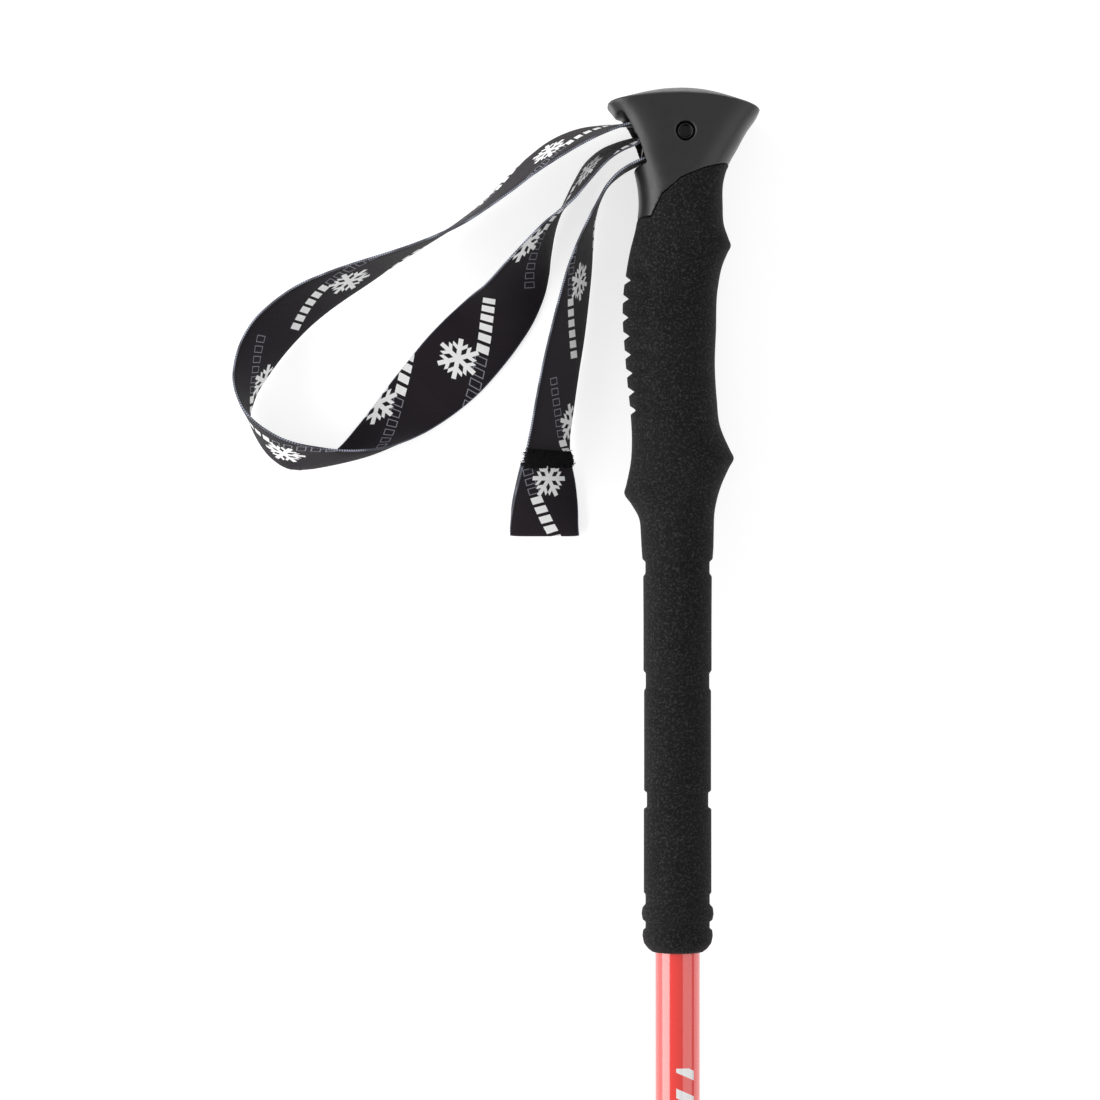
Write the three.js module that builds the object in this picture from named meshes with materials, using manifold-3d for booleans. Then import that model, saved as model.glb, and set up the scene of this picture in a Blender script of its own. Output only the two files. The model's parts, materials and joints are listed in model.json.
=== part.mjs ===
// Adjustable ski touring pole with a long foam grip, lying on its side on a table.
// Millimetres. +Y runs from the tip to the head, +X is the front of the head, and +Z is up.
// The table is z = 0. The origin lies under the middle of the pole.
// A station s is the distance from the top of the head, measured down the pole's axis.

import * as THREE from "three";
import { mergeVertices } from "three/addons/utils/BufferGeometryUtils.js";
import Module from "manifold-3d";

const wasm = await Module();
wasm.setup();

// Driving dimensions
const POLE_LENGTH = 1150;
const HEAD_FRONT = 29;
const HEAD_HALF_THICKNESS = 17.5;
const HEAD_WIDEST_S = 7;
const BASKET_RADIUS = 27.5;
const BASKET_S = 1085;
const GAP = 0.3;

// Tubes: outer radius, inner radius, first and last station
const UPPER_TUBE = { outer: 8, inner: 7.35, top: 32, end: 515 };
const MIDDLE_TUBE = { outer: 7, inner: 6.35, top: 340, end: 794 };
const LOWER_TUBE = { outer: 6, inner: 5.35, top: 628, end: 1083 };

// The pole lies on the side of its head and on the rim of its basket, so the axis rises to the tip.
const TILT = (BASKET_RADIUS - HEAD_HALF_THICKNESS) / (BASKET_S - HEAD_WIDEST_S);
const AXIS_HEIGHT = HEAD_HALF_THICKNESS - HEAD_WIDEST_S * TILT;
const AXIS_X = (BASKET_RADIUS - HEAD_FRONT) / 2;
const HEAD_Y = POLE_LENGTH / 2;

// Strap
const STRAP_THICKNESS = 1.2;
const STRAP_PIN = { x: 2.3, s: 17, radius: 2.9, holeRadius: 3.4, halfLength: 15.8 };
const SLOT_HALF_WIDTH = 13.2;

// ---------------------------------------------------------------- shape helpers

// The signed volume of a closed geometry: negative when its faces point inwards.
function signedVolume(geometry) {
  const p = geometry.attributes.position;
  const index = geometry.index.array;
  const a = new THREE.Vector3();
  const b = new THREE.Vector3();
  const c = new THREE.Vector3();
  let sum = 0;
  for (let i = 0; i < index.length; i += 3) {
    a.fromBufferAttribute(p, index[i]);
    b.fromBufferAttribute(p, index[i + 1]);
    c.fromBufferAttribute(p, index[i + 2]);
    sum += a.dot(b.cross(c)) / 6;
  }
  return sum;
}

// Shares the vertices, drops triangles of no area and turns every face outwards.
function closed(geometry) {
  const bare = geometry.clone();
  bare.deleteAttribute("normal");
  bare.deleteAttribute("uv");
  const merged = mergeVertices(bare, 1e-4);
  const index = Array.from(merged.index.array);
  const kept = [];
  for (let i = 0; i < index.length; i += 3) {
    const [a, b, c] = index.slice(i, i + 3);
    if (a !== b && b !== c && c !== a) {
      kept.push(a, b, c);
    }
  }
  merged.setIndex(kept);
  if (signedVolume(merged) < 0) {
    for (let i = 0; i < kept.length; i += 3) {
      [kept[i], kept[i + 1]] = [kept[i + 1], kept[i]];
    }
    merged.setIndex(kept);
  }
  return merged;
}

function toSolid(geometry) {
  const shape = closed(geometry);
  const mesh = new wasm.Mesh({
    numProp: 3,
    vertProperties: new Float32Array(shape.attributes.position.array),
    triVerts: new Uint32Array(shape.index.array),
  });
  return new wasm.Manifold(mesh);
}

function fromSolid(solid) {
  const mesh = solid.getMesh();
  const geometry = new THREE.BufferGeometry();
  geometry.setAttribute("position", new THREE.BufferAttribute(new Float32Array(mesh.vertProperties), 3));
  geometry.setIndex(new THREE.BufferAttribute(new Uint32Array(mesh.triVerts), 1));
  return geometry;
}

function subtract(geometry, ...cutters) {
  return fromSolid(cutters.reduce((solid, cutter) => solid.subtract(toSolid(cutter)), toSolid(geometry)));
}

function union(geometry, ...others) {
  return fromSolid(others.reduce((solid, other) => solid.add(toSolid(other)), toSolid(geometry)));
}

function intersect(geometry, other) {
  return fromSolid(toSolid(geometry).intersect(toSolid(other)));
}

// A solid of revolution about the pole's axis. The outline is a list of [radius, station].
function turned(outline, segments = 32) {
  const points = outline.map(([radius, s]) => new THREE.Vector2(radius, -s));
  return new THREE.LatheGeometry(points, segments);
}

// A tube or ring about the pole's axis.
function ring(outer, inner, top, end, segments = 32) {
  return turned([[inner, top], [outer, top], [outer, end], [inner, end], [inner, top]], segments);
}

function rod(radius, top, end, segments = 32) {
  return turned([[0, top], [radius, top], [radius, end], [0, end]], segments);
}

// A cylinder across the pole, parallel to z, between two heights above the axis.
function crossRod(radius, x, s, low, high, segments = 20) {
  const geometry = new THREE.CylinderGeometry(radius, radius, high - low, segments);
  geometry.rotateX(Math.PI / 2);
  return geometry.translate(x, -s, (low + high) / 2);
}

function box(xLow, xHigh, top, end, zLow, zHigh) {
  const geometry = new THREE.BoxGeometry(xHigh - xLow, end - top, zHigh - zLow);
  return geometry.translate((xLow + xHigh) / 2, -(top + end) / 2, (zLow + zHigh) / 2);
}

// A side-view shape, drawn in x and station, made thick across the pole.
function acrossPole(shape, halfWidth, curveSegments = 10) {
  const options = { depth: 2 * halfWidth, bevelEnabled: false, curveSegments };
  const geometry = new THREE.ExtrudeGeometry(shape, options);
  return geometry.translate(0, 0, -halfWidth);
}

// A cross-section, drawn in x and z, made long between two stations.
function alongPole(shape, top, end, curveSegments = 10) {
  const options = { depth: end - top, bevelEnabled: false, curveSegments };
  const geometry = new THREE.ExtrudeGeometry(shape, options);
  geometry.rotateX(Math.PI / 2);
  return geometry.translate(0, -top, 0);
}

// A smooth curve through [station, value] points, as a function of the station.
function smoothLine(points) {
  const slopeAt = (i) => {
    const before = points[Math.max(i - 1, 0)];
    const after = points[Math.min(i + 1, points.length - 1)];
    return (after[1] - before[1]) / (after[0] - before[0]);
  };
  return (s) => {
    const last = points.length - 2;
    const found = points.findIndex((point, i) => i > 0 && s <= point[0]) - 1;
    const i = s <= points[0][0] ? 0 : found < 0 ? last : found;
    const [s0, v0] = points[i];
    const [s1, v1] = points[i + 1];
    const t = Math.min(Math.max((s - s0) / (s1 - s0), 0), 1);
    const span = s1 - s0;
    const h00 = (1 + 2 * t) * (1 - t) ** 2;
    const h10 = t * (1 - t) ** 2;
    const h01 = t * t * (3 - 2 * t);
    const h11 = t * t * (t - 1);
    return h00 * v0 + h10 * span * slopeAt(i) + h01 * v1 + h11 * span * slopeAt(i + 1);
  };
}

// A closed skin over rings of equal point counts, with a fan over each end.
function skin(rings) {
  const count = rings[0].length;
  const vertices = rings.flat();
  const index = [];
  for (let r = 0; r < rings.length - 1; r += 1) {
    for (let i = 0; i < count; i += 1) {
      const a = r * count + i;
      const b = r * count + ((i + 1) % count);
      index.push(a, b, b + count, a, b + count, a + count);
    }
  }
  [0, rings.length - 1].forEach((r) => {
    const centre = rings[r].reduce((sum, v) => sum.add(v), new THREE.Vector3()).divideScalar(count);
    vertices.push(centre);
    for (let i = 0; i < count; i += 1) {
      const a = r * count + i;
      const b = r * count + ((i + 1) % count);
      index.push(...(r === 0 ? [b, a] : [a, b]), vertices.length - 1);
    }
  });
  const geometry = new THREE.BufferGeometry().setFromPoints(vertices);
  geometry.setIndex(index);
  return geometry;
}

// ---------------------------------------------------------------- handle: head and foam

// Side outline of the handle as [station, x], and its half thickness as [station, z]
const FRONT = smoothLine([
  [0, 6.5], [1.2, 11.9], [2.7, 16.5], [4.1, 20.8], [6.9, 26.8], [8.4, 28.6], [9.8, 29], [11.2, 28.3],
  [15.5, 25.1], [21.9, 21.2], [26.1, 18.7], [32.5, 16.5], [42, 16.1], [49, 16.6], [53.9, 18.3], [56, 19],
  [58.4, 17.9], [62.4, 16.2], [70.9, 14.4], [86.6, 13.7], [98, 13.3], [110.8, 14], [120, 15.1],
  [128.6, 18.7], [131.4, 20], [135, 18.3], [141.3, 15.5], [149.9, 13.3], [160, 12.9],
]);
const REAR = smoothLine([
  [0, -3.5], [1.2, -10.5], [2.7, -16.2], [4.1, -20.1], [5.5, -23.6], [6.9, -25.1], [8.4, -25.4],
  [9.9, -24.2], [14.5, -20.5], [20, -17.8], [26, -16.2], [30, -15.2], [36, -14.1], [42, -13.8],
  [49.6, -14.8], [58.1, -16.9], [66.7, -18.4], [71.7, -19.1], [79.5, -19.5], [92.3, -18.8], [104.4, -17.8],
  [116.5, -16.6], [125, -16.2], [132.8, -16.6], [141.3, -18.3], [144, -18.9], [147.7, -16.5],
  [152, -14], [160, -12.9],
]);
const HALF_THICKNESS = smoothLine([
  [0, 4], [1.2, 9.5], [2.7, 13.2], [4.1, 15.4], [5.5, 16.8], [7, 17.5], [12, 17.4], [25, 16], [45, 15],
  [60, 15.5], [85, 16], [115, 15.6], [135, 15.4], [150, 13.4], [160, 12.9],
]);
// How square the cross-section is: 2 is an ellipse.
const SQUARENESS = smoothLine([
  [0, 2.4], [6, 3.6], [9.4, 3.8], [13.3, 3.7], [20, 3.35], [25, 3.1], [34, 2.7], [60, 2.35],
  [130, 2.2], [160, 2],
]);

const NOTCH_COUNT = 8;
const NOTCH_FIRST_S = 68.2;
const NOTCH_PITCH = 6.6;
const NOTCH_HALF_MOUTH = 1.6;
const NOTCH_DEPTH = 2.2;
const NOTCH_FADE_X = -9;

function handleRing(s, notchDepth = 0, count = 32) {
  const front = FRONT(s);
  const rear = REAR(s);
  const middle = (front + rear) / 2;
  const half = (front - rear) / 2;
  const halfZ = HALF_THICKNESS(s);
  const power = 2 / SQUARENESS(s);
  const points = [];
  for (let i = 0; i < count; i += 1) {
    const angle = (2 * Math.PI * i) / count;
    const cos = Math.cos(angle);
    const sin = Math.sin(angle);
    const x = middle + half * Math.sign(cos) * Math.abs(cos) ** power;
    const z = halfZ * Math.sign(sin) * Math.abs(sin) ** power;
    const share = Math.min(Math.max((NOTCH_FADE_X - x) / (NOTCH_FADE_X - rear), 0), 1);
    const inset = notchDepth * share ** 0.6;
    points.push(new THREE.Vector3(x + inset, -s, z * (1 - inset / halfZ)));
  }
  return points;
}

// Stations of the plain parts, then three stations for each notch in the back of the grip
function handleStations() {
  const list = [0, 0.6, 1.2, 2.7, 4.1, 5.5, 7, 8.4, 9.8, 11.2, 13, 16, 21, 26, 30, 36, 42, 47, 52, 56, 60, 64];
  const plain = list.map((s) => ({ s, notch: 0 }));
  const notched = [];
  for (let i = 0; i < NOTCH_COUNT; i += 1) {
    const centre = NOTCH_FIRST_S + i * NOTCH_PITCH;
    notched.push({ s: centre - NOTCH_HALF_MOUTH, notch: 0 });
    notched.push({ s: centre, notch: NOTCH_DEPTH });
    notched.push({ s: centre + NOTCH_HALF_MOUTH, notch: 0 });
  }
  const lower = [119, 124, 128.6, 131.4, 134, 138, 141.3, 144, 146, 149, 153, 157];
  return [...plain, ...notched, ...lower.map((s) => ({ s, notch: 0 }))];
}

// The round lower part of the foam, as [station, radius]: four grooves and two beads
const SLEEVE = [
  [163, 12.8], [167.3, 12.5], [168.3, 11.4], [172.4, 11.4], [173.5, 12.2], [190, 12.1], [207, 12.1],
  [207.8, 11.3], [213.2, 11.3], [214, 11.9], [249.5, 11.9], [250.2, 10.9], [255.4, 10.9], [256, 12],
  [285.7, 12], [286.2, 11.4], [289.8, 11.4], [291, 12.5], [293.2, 12.8], [295.3, 12.4], [295.9, 11.4],
  [298.3, 11.4], [299, 12.3], [301, 12.5], [303.5, 12], [305.4, 10.6], [306.5, 9.2],
];

function circleRing(s, radius, count = 32) {
  const points = [];
  for (let i = 0; i < count; i += 1) {
    const angle = (2 * Math.PI * i) / count;
    points.push(new THREE.Vector3(radius * Math.cos(angle), -s, radius * Math.sin(angle)));
  }
  return points;
}

// The line where the head meets the foam, as [x, station], from the front to the rear
const HEAD_EDGE = [
  [45, 27.2], [18.6, 27.2], [8.9, 29.9], [0.7, 33.3], [-3, 36.5], [-5.7, 38.8], [-7.5, 42.4], [-9.7, 46.7],
  [-45, 46.9],
];

function headSide(offset) {
  const shape = new THREE.Shape();
  shape.moveTo(45, 60);
  HEAD_EDGE.forEach(([x, s]) => shape.lineTo(x, -(s + offset)));
  shape.lineTo(-45, 60);
  return acrossPole(shape, 60);
}

// The hollow for the strap: a round pocket about the pin, open to the rear through a slot
function strapHollow() {
  const pocket = 6.8;
  const shape = new THREE.Shape();
  shape.moveTo(-40, -9.4);
  shape.lineTo(STRAP_PIN.x, -(STRAP_PIN.s - pocket));
  shape.absarc(STRAP_PIN.x, -STRAP_PIN.s, pocket, Math.PI / 2, -Math.PI / 2, true);
  shape.lineTo(-11, -27.6);
  shape.lineTo(-40, -38);
  return acrossPole(shape, SLOT_HALF_WIDTH);
}

function gripHead() {
  const rings = handleStations().filter(({ s }) => s < 60).map(({ s }) => handleRing(s));
  const body = intersect(skin(rings), headSide(0));
  const pinHole = crossRod(STRAP_PIN.holeRadius, STRAP_PIN.x, STRAP_PIN.s, -25, 25, 24);
  const socket = rod(UPPER_TUBE.outer + GAP, UPPER_TUBE.top - GAP, 80);
  return subtract(body, strapHollow(), pinHole, socket);
}

function foamGrip() {
  const grip = handleStations().filter(({ s }) => s >= 21).map(({ s, notch }) => handleRing(s, notch));
  const sleeve = SLEEVE.map(([s, radius]) => circleRing(s, radius));
  const bore = rod(UPPER_TUBE.outer + GAP, 10, 320);
  return subtract(skin([...grip, ...sleeve]), headSide(GAP), bore);
}

// A pin with a shallow round dish in each end
function strapPin() {
  const { radius, halfLength } = STRAP_PIN;
  const dish = 2.2;
  const outline = [
    [0, -halfLength + 2], [dish, -halfLength + 2], [dish, -halfLength], [radius, -halfLength],
    [radius, halfLength], [dish, halfLength], [dish, halfLength - 2], [0, halfLength - 2],
  ];
  const points = outline.map(([r, z]) => new THREE.Vector2(r, z));
  const geometry = new THREE.LatheGeometry(points, 24);
  geometry.rotateX(Math.PI / 2);
  return geometry.translate(STRAP_PIN.x, -STRAP_PIN.s, 0);
}

// The block that jams between the two lower strands of the strap
function strapWedge() {
  const shape = new THREE.Shape();
  shape.moveTo(-12.5, -21.2);
  shape.lineTo(-6, -18.6);
  shape.lineTo(-6, -22.4);
  shape.lineTo(-12.5, -23.6);
  return acrossPole(shape, 12);
}

// ---------------------------------------------------------------- lever locks

const LOCK = {
  length: 42, seat: 12, earTop: 17, earEnd: 37, earOut: 18.4, earHeight: 5, slit: 1,
  screwX: 15.2, screwRadius: 1.5, barrelZ: 9.5, barrelRadius: 2.5, hubRadius: 4.2, forkHalf: 2.4,
};
const LOCK_MIDDLE = (LOCK.earTop + LOCK.earEnd) / 2;
const NUT_TOP_Z = -(LOCK.earHeight + GAP);
const NUT_HEIGHT = 4.2;

// A collar that grips the outer tube above and squeezes the inner tube below through its slit
function lockBody(top, outerTube, innerTube) {
  const wall = outerTube.outer + 3.3;
  const upperBore = outerTube.outer + GAP;
  const lowerBore = innerTube.outer + GAP;
  const shoulder = top + LOCK.seat + GAP;
  const end = top + LOCK.length;
  const collar = turned([
    [upperBore, top], [wall - 1.2, top], [wall, top + 2], [wall, end - 2], [wall - 1.4, end],
    [lowerBore, end], [lowerBore, shoulder], [upperBore, shoulder], [upperBore, top],
  ]);
  const ears = box(8.6, LOCK.earOut, top + LOCK.earTop, top + LOCK.earEnd, -LOCK.earHeight, LOCK.earHeight);
  const core = rod(lowerBore, top, end + 5);
  const slit = box(4, 30, shoulder + 2, end + 5, -LOCK.slit, LOCK.slit);
  const middle = top + LOCK_MIDDLE;
  const screwHole = crossRod(LOCK.screwRadius + GAP, LOCK.screwX, middle, -20, 20, 16);
  return subtract(union(collar, subtract(ears, core)), slit, screwHole);
}

// A barrel that the lever turns on, with a hole across it for the screw
function lockBarrel(top) {
  const middle = top + LOCK_MIDDLE;
  const barrel = rod(LOCK.barrelRadius, middle - 8, middle + 8, 20).translate(LOCK.screwX, 0, LOCK.barrelZ);
  return subtract(barrel, crossRod(LOCK.screwRadius + GAP, LOCK.screwX, middle, -20, 20, 16));
}

function lockScrew(top) {
  const middle = top + LOCK_MIDDLE;
  const low = NUT_TOP_Z - NUT_HEIGHT - 1.2;
  const high = LOCK.barrelZ + LOCK.barrelRadius + 0.6;
  return crossRod(LOCK.screwRadius, LOCK.screwX, middle, low, high, 16);
}

// A thumb nut with grip notches round its edge
function lockNut(top) {
  const middle = top + LOCK_MIDDLE;
  const radius = 4.6;
  const notches = 12;
  const shape = new THREE.Shape();
  for (let i = 0; i < notches * 2; i += 1) {
    const angle = (Math.PI * i) / notches;
    const r = i % 2 ? radius : radius - 0.5;
    shape[i ? "lineTo" : "moveTo"](r * Math.cos(angle), r * Math.sin(angle));
  }
  const hole = new THREE.Path().absarc(0, 0, LOCK.screwRadius + GAP, 0, 2 * Math.PI, true);
  shape.holes.push(hole);
  const geometry = new THREE.ExtrudeGeometry(shape, { depth: NUT_HEIGHT, bevelEnabled: false, curveSegments: 8 });
  return geometry.translate(LOCK.screwX, -middle, NUT_TOP_Z - NUT_HEIGHT);
}

// The lever: a forked cam hub on the barrel and a curved blade over the top of the collar
function lockLever(top, outerTube) {
  const middle = top + LOCK_MIDDLE;
  const inner = outerTube.outer + 4.1;
  const outer = inner + 3;
  const degrees = Math.PI / 180;
  const blade = new THREE.Shape();
  blade.moveTo(inner * Math.cos(50 * degrees), inner * Math.sin(50 * degrees));
  blade.absarc(0, 0, inner, 50 * degrees, 158 * degrees, false);
  blade.lineTo((inner + 1.6) * Math.cos(168 * degrees), (inner + 1.6) * Math.sin(168 * degrees));
  blade.lineTo((outer + 1.2) * Math.cos(166 * degrees), (outer + 1.2) * Math.sin(166 * degrees));
  blade.absarc(0, 0, outer, 156 * degrees, 50 * degrees, true);
  const neck = new THREE.Shape();
  neck.moveTo(inner * Math.cos(58 * degrees), inner * Math.sin(58 * degrees));
  neck.lineTo(LOCK.screwX - 1, LOCK.barrelZ - LOCK.hubRadius + 0.3);
  neck.lineTo(LOCK.screwX + 1, LOCK.barrelZ + LOCK.hubRadius - 0.2);
  neck.lineTo(outer * Math.cos(58 * degrees), outer * Math.sin(58 * degrees));
  const hub = rod(LOCK.hubRadius, middle - 9, middle + 9, 24).translate(LOCK.screwX, 0, LOCK.barrelZ);
  const bore = rod(LOCK.barrelRadius + GAP, middle - 20, middle + 20, 20).translate(LOCK.screwX, 0, LOCK.barrelZ);
  const fork = box(10.2, 30, middle - LOCK.forkHalf, middle + LOCK.forkHalf, 0, 30);
  const arm = union(hub, alongPole(blade, middle - 9, middle + 9), alongPole(neck, middle - 9, middle + 9));
  return subtract(arm, bore, fork);
}

// ---------------------------------------------------------------- tubes, tip and basket

// A plug in the top of an inner tube, with a collar that centres it in the outer tube
function guideBush(tube, outerTube) {
  const collar = outerTube.inner - 0.2;
  const stem = tube.inner - GAP / 2;
  const bore = tube.inner - 2;
  return turned([
    [bore, tube.top - 6], [collar - 0.6, tube.top - 6], [collar, tube.top - 5], [collar, tube.top - GAP],
    [stem, tube.top - GAP], [stem, tube.top + 12], [bore, tube.top + 12], [bore, tube.top - 6],
  ], 24);
}

const FERRULE = { top: 1061, flange: 1076, seat: 1078.6, seatEnd: 1092, end: 1137, seatRadius: 6.5 };
const TIP = { top: 1125, radius: 2.5, faceRadius: 1.7 };

function tipFerrule() {
  const bore = LOWER_TUBE.outer + GAP;
  return turned([
    [bore, FERRULE.top], [7, FERRULE.top], [7.4, FERRULE.top + 1], [7.4, FERRULE.flange],
    [8.8, FERRULE.flange], [8.8, FERRULE.seat], [FERRULE.seatRadius, FERRULE.seat],
    [FERRULE.seatRadius, FERRULE.seatEnd], [5.8, FERRULE.seatEnd + 3], [4, FERRULE.end],
    [TIP.radius + GAP, FERRULE.end], [TIP.radius + GAP, TIP.top - GAP], [0, TIP.top - GAP],
    [0, LOWER_TUBE.end + GAP], [bore, LOWER_TUBE.end + GAP], [bore, FERRULE.top],
  ]);
}

// A hard metal tip with a flat, slightly smaller end face
function carbideTip() {
  return turned([
    [0, TIP.top], [TIP.radius, TIP.top], [TIP.radius, POLE_LENGTH - 9], [2.1, POLE_LENGTH - 8],
    [2.1, POLE_LENGTH - 1], [TIP.faceRadius, POLE_LENGTH], [0, POLE_LENGTH],
  ], 16);
}

// A shallow dish with a rim, a hub and a ring of windows
function basket() {
  const bore = FERRULE.seatRadius + GAP;
  const windows = 8;
  const dish = turned([
    [bore, 1079], [9.6, 1079], [9.6, 1081.6], [25.6, 1083.4], [26, 1081.6], [BASKET_RADIUS, 1082],
    [BASKET_RADIUS, 1088], [26, 1088], [25.4, 1085.4], [9.6, 1084.4], [9.6, 1090], [bore, 1090], [bore, 1079],
  ], 40);
  const cutters = [];
  for (let i = 0; i < windows; i += 1) {
    const window = new THREE.Shape();
    const halfAngle = (Math.PI / windows) * 0.62;
    window.absarc(0, 0, 23, -halfAngle, halfAngle, false);
    window.lineTo(13.5 * Math.cos(halfAngle * 0.7), 13.5 * Math.sin(halfAngle * 0.7));
    window.absarc(0, 0, 13.5, halfAngle * 0.7, -halfAngle * 0.7, true);
    const cutter = alongPole(window, 1075, 1095, 5);
    cutters.push(cutter.rotateY(((i + 0.5) * 2 * Math.PI) / windows));
  }
  return subtract(dish, ...cutters);
}

// ---------------------------------------------------------------- wrist strap

// The route of the flat strap. Each row is one edge of the strap and then the other edge, as
// [x from the pole's axis, station, height above the table]. The first edge is on top at the eye
// and the second from the fold on, because the loop has half a twist in it.
const STRAP_ROUTE = [
  // the sewn eye round the pin
  [[-1, 20.6, 30], [-1, 20.6, 5]],
  [[2.3, 21, 30], [2.3, 21, 5]],
  [[5.1, 19.8, 30], [5.1, 19.8, 5]],
  [[6.3, 17, 30], [6.3, 17, 5]],
  [[5.1, 14.2, 30], [5.1, 14.2, 5]],
  [[2.3, 13, 30], [2.3, 13, 5]],
  [[-3, 14.5, 30], [-3, 14.1, 5]],
  [[-9, 17.1, 30], [-9, 15.5, 5]],
  // out of the slot on edge, then flat along the near side of the loop
  [[-14.3, 20.9, 29.5], [-15.9, 16.4, 5]],
  [[-19.1, 23, 29.4], [-21.4, 17.9, 5]],
  [[-23.4, 25.6, 29.2], [-27, 20.4, 5]],
  [[-27.5, 29.4, 28.7], [-32.3, 24.9, 4.6]],
  [[-32, 34.5, 28.3], [-36.3, 31.3, 3.9]],
  [[-36.7, 40, 27.8], [-39.5, 37.8, 3]],
  [[-41.5, 43.8, 27], [-41.9, 43.5, 2]],
  [[-46.6, 47.7, 26], [-43.7, 49.9, 1.3]],
  [[-52, 52.8, 24.4], [-45, 57.6, 0.9]],
  [[-60.6, 61.6, 20.6], [-45.8, 65, 0.7]],
  [[-68.3, 69.3, 14.2], [-47.6, 73.1, 0.7]],
  [[-74.1, 73.1, 6.1], [-51.4, 82.2, 0.7]],
  [[-79.6, 77.4, 0.7], [-56.6, 90.5, 0.7]],
  [[-84.8, 82.4, 0.7], [-63.3, 99.2, 0.7]],
  [[-90.6, 88.6, 0.7], [-70.6, 107.3, 0.7]],
  [[-96.6, 96, 0.7], [-78, 113.7, 1.2]],
  [[-102.8, 103.8, 0.7], [-85.4, 119, 3.2]],
  [[-108.8, 112, 0.7], [-91.8, 122.8, 7.2]],
  // the soft fold, where the other edge turns up
  [[-115, 120, 0.7], [-98.1, 125.6, 10.6]],
  [[-121, 127, 0.7], [-103.8, 127.5, 13.2]],
  [[-127, 131.8, 0.7], [-109.5, 128.3, 15.4]],
  [[-132.6, 134.6, 0.7], [-115.2, 128.7, 16.8]],
  [[-137.6, 135, 0.7], [-121.3, 128.5, 18.2]],
  [[-141.4, 133.9, 0.7], [-127.7, 127.7, 20.7]],
  [[-144.6, 131.8, 0.7], [-134, 126.6, 22.7]],
  [[-147.6, 128.9, 0.7], [-140, 124.7, 24.1]],
  // round the bottom of the loop and up its far side
  [[-150.4, 124.8, 0.7], [-145.5, 121.7, 25]],
  [[-152.6, 120.2, 0.7], [-150.3, 118.1, 25.5]],
  [[-153.6, 116, 0.7], [-153.7, 114.3, 25.6]],
  [[-152.8, 112.2, 0.7], [-155.9, 109.7, 25.4]],
  [[-150.8, 107, 0.7], [-157.3, 104.1, 24.7]],
  [[-147.6, 102, 0.7], [-157, 98.1, 23.6]],
  [[-143.8, 96.6, 0.7], [-155.1, 90.9, 22.3]],
  [[-138.9, 90.6, 0.7], [-150.6, 82.9, 21.4]],
  [[-132.8, 84.2, 0.7], [-143.8, 76.4, 21.8]],
  [[-126.3, 78.6, 0.7], [-135.3, 70.6, 22.6]],
  [[-118.9, 73.2, 0.7], [-125.3, 66.3, 23.9]],
  [[-110.8, 67.8, 0.8], [-114.8, 62.7, 25]],
  [[-102.4, 62, 1], [-104.1, 59.5, 25.8]],
  [[-93.6, 56.4, 1.5], [-93.9, 56.2, 26.5]],
  // back up to the slot
  [[-84.6, 50.6, 2.2], [-84, 52.5, 27.1]],
  [[-77.2, 45.4, 3], [-75.7, 48.7, 27.7]],
  [[-69.4, 38.8, 3.6], [-67.5, 43.6, 28.1]],
  [[-61.4, 31, 4.4], [-58.9, 37.6, 28.4]],
  [[-53.2, 23.2, 5], [-50.6, 31.3, 28.5]],
  [[-44.4, 16.8, 5.6], [-42, 25.7, 28.8]],
  [[-34.6, 12.9, 5.6], [-33.4, 20.7, 29.3]],
  [[-25.4, 11.7, 5.2], [-25.4, 16.8, 29.7]],
  [[-19.4, 11.6, 5], [-19.4, 14.4, 29.8]],
  // round the pin again, outside the eye
  [[-9, 11.8, 5], [-9, 12.4, 30]],
  [[2.3, 11.3, 5], [2.3, 11.3, 30]],
  [[6.3, 13, 5], [6.3, 13, 30]],
  [[8, 17, 5], [8, 17, 30]],
  [[6.3, 21, 5], [6.3, 21, 30]],
  [[2.3, 22.7, 5], [2.3, 22.7, 30]],
  [[-5, 23.8, 5], [-5, 24.1, 30]],
  // the free tail
  [[-12, 25.3, 5], [-12.4, 26.2, 30]],
  [[-16.6, 27.2, 5], [-16.8, 28.2, 30]],
  [[-21, 30, 5], [-21, 31, 29.8]],
  [[-25.2, 34, 4.7], [-24.8, 35.2, 29.4]],
  [[-27.9, 39.5, 3.8], [-27.5, 39.6, 28.8]],
  [[-29.2, 45.2, 2.6], [-30.4, 44.6, 27.6]],
  [[-29.8, 52.6, 1.4], [-34.1, 52, 26]],
  [[-30.5, 63.9, 0.8], [-38.5, 62.6, 24.4]],
  [[-31.7, 76.1, 0.7], [-42, 74.6, 23.4]],
  [[-33.2, 88.4, 0.7], [-45.1, 86.6, 22.6]],
  [[-35.1, 100.5, 0.7], [-47.9, 98.6, 22.1]],
  [[-36.8, 112.5, 0.7], [-50.2, 110.5, 21.7]],
  [[-38.3, 124.7, 1.3], [-52.4, 122.6, 21.9]],
  [[-37.9, 131.5, 2.2], [-54.5, 132.1, 19.8]],
  [[-36.3, 139.7, 2.5], [-56.7, 140.1, 15.6]],
  [[-35.3, 148.6, 2.5], [-58.7, 148.7, 9.8]],
  [[-35, 156.6, 2.5], [-59.7, 156.6, 5.2]],
  // the end, folded back under itself and sewn
  [[-34.8, 158.6, 1.6], [-59.7, 158.6, 4.4]],
  [[-35, 156.8, 0.7], [-59.6, 156.8, 3.2]],
  [[-35.7, 148.6, 0.7], [-59.1, 148.7, 7.6]],
  [[-36.9, 139.7, 0.7], [-57.3, 140.1, 13.2]],
  [[-38.7, 132.6, 0.7], [-55.5, 133, 17.2]],
];

function tablePoint([x, s, z]) {
  return new THREE.Vector3(AXIS_X + x, HEAD_Y - s, z);
}

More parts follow.
